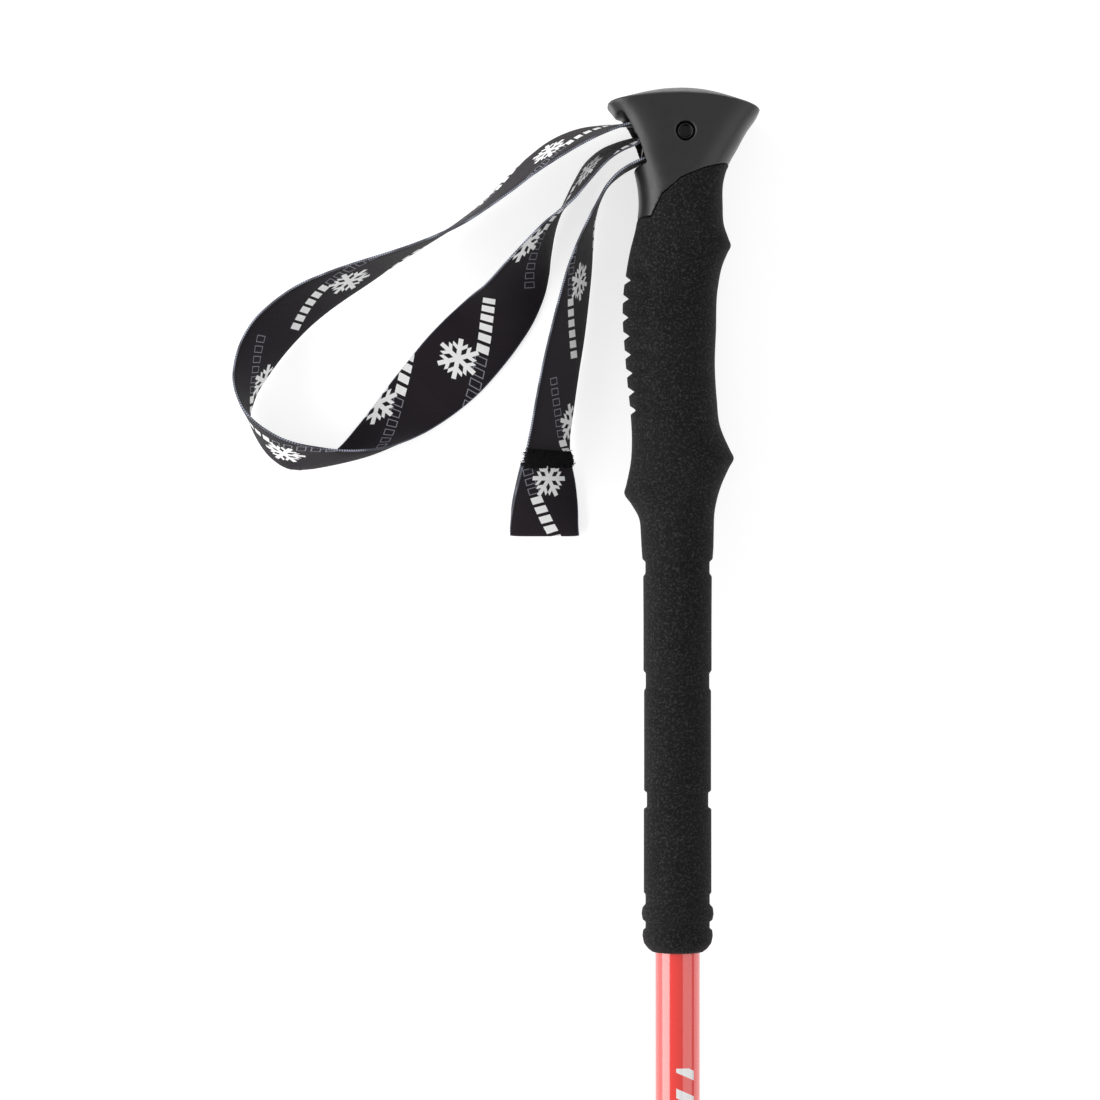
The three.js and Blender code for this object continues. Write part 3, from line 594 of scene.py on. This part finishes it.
# The route of the flat strap. Each row is one edge of the strap and then the other edge, as
# [x from the pole's axis, station, height above the table]. The first edge is on top at the eye
# and the second from the fold on, because the loop has half a twist in it.
STRAP_ROUTE = [
    # the sewn eye round the pin
    ([-1, 20.6, 30], [-1, 20.6, 5]),
    ([2.3, 21, 30], [2.3, 21, 5]),
    ([5.1, 19.8, 30], [5.1, 19.8, 5]),
    ([6.3, 17, 30], [6.3, 17, 5]),
    ([5.1, 14.2, 30], [5.1, 14.2, 5]),
    ([2.3, 13, 30], [2.3, 13, 5]),
    ([-3, 14.5, 30], [-3, 14.1, 5]),
    ([-9, 17.1, 30], [-9, 15.5, 5]),
    # out of the slot on edge, then flat along the near side of the loop
    ([-14.3, 20.9, 29.5], [-15.9, 16.4, 5]),
    ([-19.1, 23, 29.4], [-21.4, 17.9, 5]),
    ([-23.4, 25.6, 29.2], [-27, 20.4, 5]),
    ([-27.5, 29.4, 28.7], [-32.3, 24.9, 4.6]),
    ([-32, 34.5, 28.3], [-36.3, 31.3, 3.9]),
    ([-36.7, 40, 27.8], [-39.5, 37.8, 3]),
    ([-41.5, 43.8, 27], [-41.9, 43.5, 2]),
    ([-46.6, 47.7, 26], [-43.7, 49.9, 1.3]),
    ([-52, 52.8, 24.4], [-45, 57.6, 0.9]),
    ([-60.6, 61.6, 20.6], [-45.8, 65, 0.7]),
    ([-68.3, 69.3, 14.2], [-47.6, 73.1, 0.7]),
    ([-74.1, 73.1, 6.1], [-51.4, 82.2, 0.7]),
    ([-79.6, 77.4, 0.7], [-56.6, 90.5, 0.7]),
    ([-84.8, 82.4, 0.7], [-63.3, 99.2, 0.7]),
    ([-90.6, 88.6, 0.7], [-70.6, 107.3, 0.7]),
    ([-96.6, 96, 0.7], [-78, 113.7, 1.2]),
    ([-102.8, 103.8, 0.7], [-85.4, 119, 3.2]),
    ([-108.8, 112, 0.7], [-91.8, 122.8, 7.2]),
    # the soft fold, where the other edge turns up
    ([-115, 120, 0.7], [-98.1, 125.6, 10.6]),
    ([-121, 127, 0.7], [-103.8, 127.5, 13.2]),
    ([-127, 131.8, 0.7], [-109.5, 128.3, 15.4]),
    ([-132.6, 134.6, 0.7], [-115.2, 128.7, 16.8]),
    ([-137.6, 135, 0.7], [-121.3, 128.5, 18.2]),
    ([-141.4, 133.9, 0.7], [-127.7, 127.7, 20.7]),
    ([-144.6, 131.8, 0.7], [-134, 126.6, 22.7]),
    ([-147.6, 128.9, 0.7], [-140, 124.7, 24.1]),
    # round the bottom of the loop and up its far side
    ([-150.4, 124.8, 0.7], [-145.5, 121.7, 25]),
    ([-152.6, 120.2, 0.7], [-150.3, 118.1, 25.5]),
    ([-153.6, 116, 0.7], [-153.7, 114.3, 25.6]),
    ([-152.8, 112.2, 0.7], [-155.9, 109.7, 25.4]),
    ([-150.8, 107, 0.7], [-157.3, 104.1, 24.7]),
    ([-147.6, 102, 0.7], [-157, 98.1, 23.6]),
    ([-143.8, 96.6, 0.7], [-155.1, 90.9, 22.3]),
    ([-138.9, 90.6, 0.7], [-150.6, 82.9, 21.4]),
    ([-132.8, 84.2, 0.7], [-143.8, 76.4, 21.8]),
    ([-126.3, 78.6, 0.7], [-135.3, 70.6, 22.6]),
    ([-118.9, 73.2, 0.7], [-125.3, 66.3, 23.9]),
    ([-110.8, 67.8, 0.8], [-114.8, 62.7, 25]),
    ([-102.4, 62, 1], [-104.1, 59.5, 25.8]),
    ([-93.6, 56.4, 1.5], [-93.9, 56.2, 26.5]),
    # back up to the slot
    ([-84.6, 50.6, 2.2], [-84, 52.5, 27.1]),
    ([-77.2, 45.4, 3], [-75.7, 48.7, 27.7]),
    ([-69.4, 38.8, 3.6], [-67.5, 43.6, 28.1]),
    ([-61.4, 31, 4.4], [-58.9, 37.6, 28.4]),
    ([-53.2, 23.2, 5], [-50.6, 31.3, 28.5]),
    ([-44.4, 16.8, 5.6], [-42, 25.7, 28.8]),
    ([-34.6, 12.9, 5.6], [-33.4, 20.7, 29.3]),
    ([-25.4, 11.7, 5.2], [-25.4, 16.8, 29.7]),
    ([-19.4, 11.6, 5], [-19.4, 14.4, 29.8]),
    # round the pin again, outside the eye
    ([-9, 11.8, 5], [-9, 12.4, 30]),
    ([2.3, 11.3, 5], [2.3, 11.3, 30]),
    ([6.3, 13, 5], [6.3, 13, 30]),
    ([8, 17, 5], [8, 17, 30]),
    ([6.3, 21, 5], [6.3, 21, 30]),
    ([2.3, 22.7, 5], [2.3, 22.7, 30]),
    ([-5, 23.8, 5], [-5, 24.1, 30]),
    # the free tail
    ([-12, 25.3, 5], [-12.4, 26.2, 30]),
    ([-16.6, 27.2, 5], [-16.8, 28.2, 30]),
    ([-21, 30, 5], [-21, 31, 29.8]),
    ([-25.2, 34, 4.7], [-24.8, 35.2, 29.4]),
    ([-27.9, 39.5, 3.8], [-27.5, 39.6, 28.8]),
    ([-29.2, 45.2, 2.6], [-30.4, 44.6, 27.6]),
    ([-29.8, 52.6, 1.4], [-34.1, 52, 26]),
    ([-30.5, 63.9, 0.8], [-38.5, 62.6, 24.4]),
    ([-31.7, 76.1, 0.7], [-42, 74.6, 23.4]),
    ([-33.2, 88.4, 0.7], [-45.1, 86.6, 22.6]),
    ([-35.1, 100.5, 0.7], [-47.9, 98.6, 22.1]),
    ([-36.8, 112.5, 0.7], [-50.2, 110.5, 21.7]),
    ([-38.3, 124.7, 1.3], [-52.4, 122.6, 21.9]),
    ([-37.9, 131.5, 2.2], [-54.5, 132.1, 19.8]),
    ([-36.3, 139.7, 2.5], [-56.7, 140.1, 15.6]),
    ([-35.3, 148.6, 2.5], [-58.7, 148.7, 9.8]),
    ([-35, 156.6, 2.5], [-59.7, 156.6, 5.2]),
    # the end, folded back under itself and sewn
    ([-34.8, 158.6, 1.6], [-59.7, 158.6, 4.4]),
    ([-35, 156.8, 0.7], [-59.6, 156.8, 3.2]),
    ([-35.7, 148.6, 0.7], [-59.1, 148.7, 7.6]),
    ([-36.9, 139.7, 0.7], [-57.3, 140.1, 13.2]),
    ([-38.7, 132.6, 0.7], [-55.5, 133, 17.2]),
]


def strap_stations(step=0.9):
    """Smooth edges of the strap and the distance along it."""
    rows = np.array(STRAP_ROUTE, float).reshape(-1, 6)
    middle = (rows[:, :3] + rows[:, 3:]) / 2
    along = np.concatenate([[0], np.cumsum(np.linalg.norm(np.diff(middle, axis=0), axis=1))])
    slopes = np.gradient(rows, along, axis=0)
    where = np.linspace(0, along[-1], int(along[-1] / step) + 1)
    i = np.clip(np.searchsorted(along, where, side="right") - 1, 0, len(along) - 2)
    span = (along[i + 1] - along[i])[:, None]
    t = (where - along[i])[:, None] / span
    start = (1 + 2 * t) * (1 - t) ** 2 * rows[i] + t * (1 - t) ** 2 * span * slopes[i]
    smooth = start + t * t * (3 - 2 * t) * rows[i + 1] + t * t * (t - 1) * span * slopes[i + 1]
    return smooth[:, :3], smooth[:, 3:], where


def strap_normal(first, second):
    along = np.gradient((first + second) / 2, axis=0)
    normal = np.cross(along, second - first)
    return normal / np.linalg.norm(normal, axis=1)[:, None]


def strap_belly(first, second, normal, along):
    """How far the strap's middle stands out from the line between its edges, in the soft fold.

    Where its edges are closer than its width, the cloth between them bulges out of the loop.
    """
    chord = np.linalg.norm(second - first, axis=1)
    slack = np.clip(STRAP_WIDTH - chord, 0, None)
    height = 0.5 * np.sqrt(3 * chord * slack / 8)
    fold = smooth_step(along, *FOLD_START) * (1 - smooth_step(along, *FOLD_END))
    middle = (first + second) / 2
    outwards = (middle - np.array(LOOP_CENTRE)) * [1, 1, 0]
    side = np.where(np.sum(outwards * normal, axis=1) > 0, 1.0, -1.0)
    return height * fold * side


def strap_loops(obj, along, across, count):
    """Cloth UVs in decimetres, and a material for each face and for the selvedges."""
    layer = obj.data.uv_layers.new(name="cloth")
    stretched = obj.data.uv_layers.new(name="print")
    print_along = np.interp(along, *zip(*PRINT_STRETCH))
    half = count // 2
    sides = (len(along) - 1) * count
    for polygon in obj.data.polygons:
        column = polygon.index % count
        polygon.material_index = 0 if column < half else 1
        if polygon.index >= sides or column in (half - 1, count - 1):
            polygon.material_index = 2
        for loop in polygon.loop_indices:
            vertex = obj.data.loops[loop].vertex_index
            ring = vertex // count
            sideways = across[vertex % count] / UV_UNIT
            layer.data[loop].uv = (along[ring] / UV_UNIT, sideways)
            stretched.data[loop].uv = (print_along[ring] / UV_UNIT, sideways)


def build_strap():
    """The strap as one thin closed ribbon, with a printed face on each side and pale selvedges."""
    first, second, along = strap_stations()
    normal = strap_normal(first, second)
    belly = strap_belly(first, second, normal, along)
    columns = 18
    v = np.linspace(-1, 1, columns)
    half = STRAP_THICKNESS / 2 * np.sqrt(np.clip(1 - np.abs(v) ** 10, 0.3, 1))
    rows = []
    for side, order in ((1, range(columns)), (-1, range(columns - 1, -1, -1))):
        for k in order:
            chord = first * (1 - v[k]) / 2 + second * (1 + v[k]) / 2
            shift = belly * (1 - v[k] ** 2) + side * half[k]
            rows.append(chord + normal * shift[:, None])
    count = 2 * columns
    rings = np.stack(rows, axis=1)
    rings[:, :, 2] = np.maximum(rings[:, :, 2], 0.06)
    looks = [WEBBING_FACE, WEBBING_BACK, WEBBING_EDGE]
    vertices = table_points(rings.reshape(-1, 3))
    obj = new_object("wrist_strap_webbing", vertices, capped_faces(len(along), count), looks)
    strap_loops(obj, along, np.concatenate([v, v[::-1]]) * STRAP_WIDTH / 2, count)
    outward(obj)
    sharpen(obj, 60)
    piece(obj, "handle", "webbing", "wrist_strap")
    path = table_points((first + second) / 2 + normal * (belly * 0.66)[:, None])[::6]
    length = float(np.sum(np.linalg.norm(np.diff(path, axis=0), axis=1)))
    return obj, path, length


# The bar tack's place on the tail: distance back from the folded-back end of the strap
TACK_ALONG = (-4.4, 0.9)


def build_bar_tack():
    """Dense black zigzag stitching across both layers of the folded tail, with loose ends."""
    first, second, along = strap_stations()
    normal = strap_normal(first, second)
    rng = random.Random(7)
    turn = int(np.argmax((first[:, 1] + second[:, 1])[len(along) // 2:])) + len(along) // 2
    end = along[-1]
    vertices = []
    faces = []

    def surface(distance_from_end, v, lift):
        """A point on the outer face of the tail, opposite a place on the folded-back layer."""
        mirrored = along[turn] - (end - along[turn]) + distance_from_end
        k = int(np.clip(np.searchsorted(along, mirrored), 0, len(along) - 1))
        chord = first[k] * (1 - v) / 2 + second[k] * (1 + v) / 2
        facing = normal[k] if normal[k][2] > 0 else -normal[k]
        return chord + facing * lift

    def strand(points, radius):
        """A thin round thread through points."""
        rows = [Vector(p) for p in points]
        base = len(vertices)
        sides = 6
        for i, point in enumerate(rows):
            before = rows[max(i - 1, 0)]
            after = rows[min(i + 1, len(rows) - 1)]
            tangent = (after - before).normalized()
            side = tangent.cross(Vector((0.31, 0.17, 0.93))).normalized()
            up = tangent.cross(side)
            for j in range(sides):
                angle = 2 * math.pi * j / sides
                vertices.append(point + (side * math.cos(angle) + up * math.sin(angle)) * radius)
        for face in capped_faces(len(rows), sides):
            faces.append(tuple(base + j for j in face))

    stitches = 66
    for i in range(stitches):
        v = -1.0 + 2.0 * (i + 0.5) / stitches
        for layer in range(2):
            low = TACK_ALONG[0] + rng.uniform(-0.5, 0.5)
            high = TACK_ALONG[1] + rng.uniform(-0.5, 0.5)
            slant = rng.uniform(-0.03, 0.03) + (0.022 if layer else -0.022)
            points = []
            for k in range(6):
                t = k / 5
                lift = 0.6 + 0.4 * math.sin(math.pi * t) + rng.uniform(-0.1, 0.1) + 0.15 * layer
                place = max(-1, min(1, v + slant * (t - 0.5) * 2))
                points.append(surface(low + (high - low) * t, place, lift))
            strand(points, 0.36)
    for i in range(110):
        edge = i % 4
        v = rng.uniform(-1, 1) if edge > 1 else (-1.0, 1.0)[edge] * rng.uniform(0.95, 1.02)
        start = TACK_ALONG[edge - 2] if edge > 1 else TACK_ALONG[0] + rng.uniform(-0.4, 5.4)
        base = surface(start, v, 0.8 if edge > 1 else 0.4)
        reach = rng.uniform(0.4, 1.3)
        sideways = rng.uniform(-0.5, 0.5) if edge > 1 else (reach, -reach)[edge]
        lengthways = rng.uniform(-1.0, 1.0) * (1.3 if edge > 1 else 0.8)
        tip = base + np.array([sideways, lengthways, rng.uniform(-0.4, 0.6)])
        middle = (base + tip) / 2 + np.array([0, rng.uniform(-0.5, 0.5), rng.uniform(0, 0.6)])
        tip[2] = max(tip[2], 0.3)
        strand([base, middle, tip], 0.12)
    obj = new_object("bar_tack", table_points(vertices), faces, [THREAD])
    return piece(obj, "handle", "webbing")


# ---------------------------------------------------------------- handle

FRONT = smooth_line([
    (0, 6.5), (1.2, 11.9), (2.7, 16.5), (4.1, 20.8), (6.9, 26.8), (8.4, 28.6), (9.8, 29), (11.2, 28.3),
    (15.5, 25.1), (21.9, 21.2), (26.1, 18.7), (32.5, 16.5), (42, 16.1), (49, 16.6), (53.9, 18.3),
    (56, 19), (58.4, 17.9), (62.4, 16.2), (70.9, 14.4), (86.6, 13.7), (98, 13.3), (110.8, 14),
    (120, 15.1), (128.6, 18.7), (131.4, 20), (135, 18.3), (141.3, 15.5), (149.9, 13.3), (160, 12.9),
])
REAR = smooth_line([
    (0, -3.5), (1.2, -10.5), (2.7, -16.2), (4.1, -20.1), (5.5, -23.6), (6.9, -25.1), (8.4, -25.4),
    (9.9, -24.2), (14.5, -20.5), (20, -17.8), (26, -16.2), (30, -15.2), (36, -14.1), (42, -13.8),
    (49.6, -14.8), (58.1, -16.9), (66.7, -18.4), (71.7, -19.1), (79.5, -19.5), (92.3, -18.8),
    (104.4, -17.8), (116.5, -16.6), (125, -16.2), (132.8, -16.6), (141.3, -18.3), (144, -18.9),
    (147.7, -16.5), (152, -14), (160, -12.9),
])
HALF_THICKNESS = smooth_line([
    (0, 4), (1.2, 9.5), (2.7, 13.2), (4.1, 15.4), (5.5, 16.8), (7, 17.5), (12, 17.4), (25, 16),
    (45, 15), (60, 15.5), (85, 16), (115, 15.6), (135, 15.4), (150, 13.4), (160, 12.9),
])
SQUARENESS = smooth_line([
    (0, 2.4), (6, 4.4), (9.4, 5), (13.3, 4.4), (20, 3.7), (25, 3.3), (34, 2.7), (60, 2.35),
    (130, 2.2), (160, 2),
])
HEAD_EDGE = [
    (-45, 46.9), (-9.7, 46.7), (-7.5, 42.4), (-5.7, 38.8), (-3, 36.5), (0.7, 33.3), (8.9, 29.9),
    (18.6, 27.2), (45, 27.2),
]
RIDGE_S = 137.5
RIDGE_SLANT = 6.3

NOTCH_COUNT = 8
NOTCH_FIRST_S = 68.2
NOTCH_PITCH = 6.6
NOTCH_HALF_MOUTH = 1.6
NOTCH_DEPTH = 2.2
NOTCH_FADE_X = -9.0
# A shallow crease slants across the side of the foam under the head, from (s, x) to (s, x)
CREASE_START = (58.3, -15.9)
CREASE_END = (67.5, -10.6)

SLEEVE = [
    (163, 12.8), (167.3, 12.5), (168.3, 11.4), (172.4, 11.4), (173.5, 12.2), (190, 12.1), (207, 12.1),
    (207.8, 11.3), (213.2, 11.3), (214, 11.9), (249.5, 11.9), (250.2, 10.9), (255.4, 10.9), (256, 12),
    (285.7, 12), (286.2, 11.4), (289.8, 11.4), (291, 12.5), (293.2, 12.8), (295.3, 12.4), (295.9, 11.4),
    (298.3, 11.4), (299, 12.3), (301, 12.5), (303.5, 12), (305.4, 10.6), (306.5, 9.2),
]


def section(theta, s):
    """Points round the handle's section at a station; theta 0 is the front and pi the rear."""
    return shaped_section(theta, FRONT(s), REAR(s), HALF_THICKNESS(s), SQUARENESS(s))


def shaped_section(theta, front, rear, half_z, squareness):
    cos = np.cos(theta)
    sin = np.sin(theta)
    x = (front + rear) / 2 + (front - rear) / 2 * np.sign(cos) * np.abs(cos) ** (2 / squareness)
    z = half_z * np.sign(sin) * np.abs(sin) ** (2 / squareness)
    return x, z


def dome(x):
    """How far the top line of the head has dropped at x."""
    reach = (x - 1.5) / 27
    return np.where(reach > 0, 8.0, 6.4) * reach ** 2


def rim(x):
    """How far the rounded edge between the head's top and its side lies under the top line."""
    return np.clip(3.2 - 1.4 * ((x - 2) / 18.5) ** 2, 0.35, 3.2)


def head_rings(count):
    """Rings from the middle of the domed top, over its rim and down to below the foam's edge."""
    theta = np.linspace(0, 2 * math.pi, count, endpoint=False)
    rim_z = 16.7
    rings = []
    for k in np.linspace(0.04, 1, 26):
        x, z = shaped_section(theta, 28.4, -25.0, rim_z, 5)
        x = 1.7 + (x - 1.7) * k
        z = z * k
        rings.append(np.stack([x, dome(x) + rim(x) * (z / rim_z) ** 2, z], axis=1))
    rim_s = rings[-1][:, 1]
    for station in np.concatenate([np.linspace(9.9, 30, 48), np.linspace(30.6, 62, 44)]):
        x, z = section(theta, station)
        fade = 1 - smooth_step(station, 9, 27)
        rings.append(np.stack([x, station - fade * (9.2 - rim_s), z], axis=1))
    return rings


def solid_object(name, rings):
    count = len(rings[0])
    obj = new_object(name, pole_points(np.concatenate(rings)), capped_faces(len(rings), count), [])
    return outward(obj)


def prism(name, outline, low, high):
    """A closed outline in x and station, made thick across the pole."""
    count = len(outline)
    vertices = [(x, s, z) for z in (low, high) for x, s in outline]
    faces = [tuple(range(count)), tuple(range(2 * count - 1, count - 1, -1))]
    faces += [(i, (i + 1) % count, (i + 1) % count + count, i + count) for i in range(count)]
    return outward(new_object(name, pole_points(vertices), faces, [], smooth=False))


def circle(x, s, radius, start=0.0, end=2 * math.pi, steps=48):
    angles = np.linspace(start, end, steps, endpoint=end - start < 6.28)
    return [(x + radius * math.cos(a), s + radius * math.sin(a)) for a in angles]


def cut(obj, cutters, operation="DIFFERENCE"):
    for cutter in cutters:
        modifier = obj.modifiers.new("cut", "BOOLEAN")
        modifier.operation = operation
        modifier.solver = "EXACT"
        modifier.object = cutter
        apply_modifiers(obj)
        bpy.data.objects.remove(cutter)
    return obj


PIN_X, PIN_S = 2.3, 17.0


def strap_hollow():
    """The pocket about the pin and the slot to the rear, as one cutter."""
    pocket = 6.8
    outline = [(-40, 9.4), (PIN_X, PIN_S - pocket)]
    outline += circle(PIN_X, PIN_S, pocket, -math.pi / 2, math.pi / 2, 24)[1:-1]
    outline += [(PIN_X, PIN_S + pocket), (-11, 27.6), (-40, 38)]
    return prism("hollow", outline, -13.2, 13.2)


def soften(obj, voxel, passes, factor=0.5):
    """Rounds every edge slightly, as moulded plastic or cut foam is."""
    remesh = obj.modifiers.new("remesh", "REMESH")
    remesh.mode = "VOXEL"
    remesh.voxel_size = voxel * MM
    apply_modifiers(obj)
    smooth = obj.modifiers.new("smooth", "SMOOTH")
    smooth.factor = factor
    smooth.iterations = passes
    apply_modifiers(obj)
    obj.data.shade_smooth()
    return obj


def build_head():
    obj = solid_object("head_shell", head_rings(144))
    above = [(x, s - 0.12) for x, s in HEAD_EDGE] + [(45, -20), (-45, -20)]
    cut(obj, [prism("above", above, -60, 60)], "INTERSECT")
    socket = turned("socket", [(0, 31.7), (8.3, 31.7), (8.3, 80), (0, 80)], [], 48, 0.0, False)
    pin_hole = prism("pin_hole", circle(PIN_X, PIN_S, 3.4), -25, 25)
    cut(obj, [strap_hollow(), pin_hole, socket])
    soften(obj, 0.4, 5)
    obj.data.materials.clear()
    obj.data.materials.append(HEAD_PLASTIC)
    return piece(obj, "handle", "head_plastic", "grip_head")


def head_edge_s(x):
    xs, ss = zip(*HEAD_EDGE)
    return np.interp(x, xs, ss)


def notch_cut(s):
    """Depth of the notches at a station."""
    depth = 0.0
    for i in range(NOTCH_COUNT):
        centre = NOTCH_FIRST_S + NOTCH_PITCH * i
        depth += NOTCH_DEPTH * np.clip(1 - np.abs(s - centre) / NOTCH_HALF_MOUTH, 0, 1)
    return depth


def crease(x, s, z):
    """Depth of the low step beside the slanting crease, on the upper side of the foam."""
    t = (x - CREASE_START[1]) / (CREASE_END[1] - CREASE_START[1])
    line_s = CREASE_START[0] + (CREASE_END[0] - CREASE_START[0]) * t
    near = np.clip(t + 0.3, 0, 1) * np.clip(1.6 - t, 0, 1)
    step = smooth_step(s, line_s - 1.0, line_s + 0.6) * (1 - smooth_step(s, line_s + 3, line_s + 12))
    return 0.9 * near * step * (z > 0)


def foam_ring(theta, w):
    """One ring of the shaped foam. The hooks lie lower at the rear than at the front."""
    slant = RIDGE_SLANT * smooth_step(w, 112, 134) * (1 - smooth_step(w, 141, 156))
    front_s = w - slant
    rear_s = w + slant
    front = FRONT(front_s)
    rear = REAR(rear_s)
    half_z = HALF_THICKNESS(w) + 0.7 * math.exp(-(((w - RIDGE_S) / 1.9) ** 2))
    x, z = shaped_section(theta, front, rear, half_z, SQUARENESS(w))
    s = rear_s + (front_s - rear_s) * (x - rear) / (front - rear)
    share = np.clip((NOTCH_FADE_X - x) / (NOTCH_FADE_X - rear), 0, 1)
    inset = notch_cut(s) * share ** 0.6 + crease(x, s, z)
    return np.stack([x + inset, s, z * (1 - inset / half_z)], axis=1)


def foam_profile(points, corner=0.45):
    """The sleeve's outline with its corners rounded and long runs divided."""
    dense = []
    outline = rounded(points, corner, 4)
    for (s0, r0), (s1, r1) in zip(outline, outline[1:]):
        pieces = max(1, int((s1 - s0) / 2.5))
        dense += [(s0 + (s1 - s0) * k / pieces, r0 + (r1 - r0) * k / pieces) for k in range(pieces)]
    return dense + [outline[-1]]


def build_foam():
    count = 144
    theta = np.linspace(0, 2 * math.pi, count, endpoint=False)
    start = np.full(count, 40.0)
    for _ in range(40):
        x, _z = section(theta, start)
        start = 0.5 * start + 0.5 * (head_edge_s(x) + 0.15)
    rings = []
    for inward, below in ((3.0, 0.0), (1.2, 0.0), (0.45, 0.02), (0.12, 0.14), (0.0, 0.45)):
        x, z = section(theta, start)
        length = np.hypot(x, z)
        rings.append(np.stack([x * (1 - inward / length), start + below, z * (1 - inward / length)], axis=1))
    top = start + 0.45
    for t in np.linspace(0, 1, 24)[1:]:
        s = top + (54.0 - top) * t
        x, z = section(theta, s)
        rings.append(np.stack([x, s, z], axis=1))
    for w in np.concatenate([np.arange(54.5, 122, 0.55), np.arange(122, 156.1, 0.6)]):
        rings.append(foam_ring(theta, w))
    for s, radius in foam_profile(SLEEVE):
        rings.append(np.stack([radius * np.cos(theta), np.full(count, s), radius * np.sin(theta)], axis=1))
    obj = solid_object("foam_handle", rings)
    sharpen(obj, 50)
    obj.data.materials.append(FOAM)
    return piece(obj, "handle", "eva_foam", "foam_grip")


def build_pin():
    """The strap pin: a dished dark end seen in its hole on each side."""
    radius, half, dish = 2.9, 15.8, 2.15
    profile = [
        (0, -half + 1.6), (dish - 0.2, -half + 1.6), (dish, -half + 0.2), (radius - 0.25, -half),
        (radius, -half + 0.3), (radius, half - 0.3), (radius - 0.25, half), (dish, half - 0.2),
        (dish - 0.2, half - 1.6), (0, half - 1.6),
    ]
    outline = rounded(profile, 0.2)
    segments = 64
    rings = []
    angle = np.linspace(0, 2 * math.pi, segments, endpoint=False)
    for r, z in outline:
        r = max(r, 0.01)
        ring = [PIN_X + r * np.cos(angle), PIN_S + r * np.sin(angle), np.full(segments, z)]
        rings.append(np.stack(ring, axis=1))
    obj = solid_object("strap_cross_pin", rings)
    sharpen(obj)
    obj.data.materials.append(DARK_STEEL)
    return piece(obj, "handle", "steel", "strap_pin")


# ---------------------------------------------------------------- tubes, tip and locks

def build_tube(name, node, body, slot, outer, inner, top, end, material):
    profile = [(inner, top), (outer, top), (outer, end), (inner, end)]
    return piece(turned(name, profile, [material], 96, 0.25), body, slot, node)


def build_tip():
    ferrule = [
        (6.3, 1061), (7, 1061), (7.4, 1062.2), (7.4, 1072), (7.7, 1075.6), (8.8, 1076), (8.8, 1078.6),
        (6.5, 1078.6), (6.5, 1081), (6.5, 1092), (5.8, 1095), (5.4, 1104), (4.9, 1118), (4, 1137),
        (2.8, 1137), (2.8, 1124.7), (0, 1124.7),
    ]
    upper_end = [(0, 1083.3), (6.3, 1083.3)]
    obj = turned("tip_sleeve", upper_end + ferrule, [BLACK_PLASTIC], 72, 0.4, False)
    piece(obj, "lower_section", "black_plastic", "tip_ferrule")
    tip = [
        (0, 1125), (2.5, 1125), (2.5, 1141), (2.1, 1142), (2.1, 1149), (1.7, 1150), (0.9, 1149.6),
        (0, 1149.4),
    ]
    obj = turned("hard_tip", tip, [CARBIDE], 48, 0.2, False)
    return piece(obj, "lower_section", "carbide", "carbide_tip")


def smooth_group(degrees=35):
    """Modifier nodes that shade faces smooth and leave sharper edges than this as they are."""
    group = bpy.data.node_groups.new("smooth_by_angle", "GeometryNodeTree")
    group.interface.new_socket("Geometry", in_out="INPUT", socket_type="NodeSocketGeometry")
    group.interface.new_socket("Geometry", in_out="OUTPUT", socket_type="NodeSocketGeometry")
    start = group.nodes.new("NodeGroupInput")
    end = group.nodes.new("NodeGroupOutput")
    angle = group.nodes.new("GeometryNodeInputMeshEdgeAngle")
    sharp = group.nodes.new("FunctionNodeCompare")
    sharp.operation = "GREATER_THAN"
    sharp.inputs[1].default_value = math.radians(degrees)
    faces = group.nodes.new("GeometryNodeSetShadeSmooth")
    faces.domain = "FACE"
    edges = group.nodes.new("GeometryNodeSetShadeSmooth")
    edges.domain = "EDGE"
    edges.inputs["Shade Smooth"].default_value = False
    group.links.new(start.outputs[0], faces.inputs["Geometry"])
    group.links.new(faces.outputs[0], edges.inputs["Geometry"])
    group.links.new(angle.outputs["Unsigned Angle"], sharp.inputs[0])
    group.links.new(sharp.outputs[0], edges.inputs["Selection"])
    group.links.new(edges.outputs[0], end.inputs[0])
    return group


def finish_cad_nodes():
    """Edges and materials of the CAD nodes that stay in view."""
    smooth = smooth_group()
    looks = {
        "strap_wedge": BLACK_PLASTIC,
        "basket": BLACK_PLASTIC,
        "middle_guide_bush": GREY_PLASTIC,
        "lower_guide_bush": GREY_PLASTIC,
    }
    for lock in ("upper", "lower"):
        looks[f"{lock}_lock_body"] = BLACK_PLASTIC
        looks[f"{lock}_lock_lever"] = RED_PLASTIC
        looks[f"{lock}_lock_barrel"] = STEEL
        looks[f"{lock}_lock_screw"] = STEEL
        looks[f"{lock}_lock_nut"] = GREY_PLASTIC
    for name, material in looks.items():
        obj = NODES[name]
        obj.data.materials.clear()
        obj.data.materials.append(material)
        bevel = obj.modifiers.new("edges", "BEVEL")
        bevel.width = 0.3 * MM
        bevel.segments = 2
        bevel.limit_method = "ANGLE"
        bevel.angle_limit = math.radians(35)
        shading = obj.modifiers.new("shading", "NODES")
        shading.node_group = smooth


# ---------------------------------------------------------------- the scene

add_camera()
add_light()
add_table()

strap, strap_path, strap_length = build_strap()
tack = build_bar_tack()

build_head()
build_foam()
build_pin()
build_tube("upper_shaft", "upper_tube", "handle", "red_tube", 8, 7.35, 32, 515, RED_LACQUER)
build_tube("middle_shaft", "middle_tube", "middle_section", "black_tube", 7, 6.35, 340, 794, BLACK_TUBE)
build_tube("lower_shaft", "lower_tube", "lower_section", "black_tube", 6, 5.35, 628, 1083, BLACK_TUBE)
build_tip()
finish_cad_nodes()
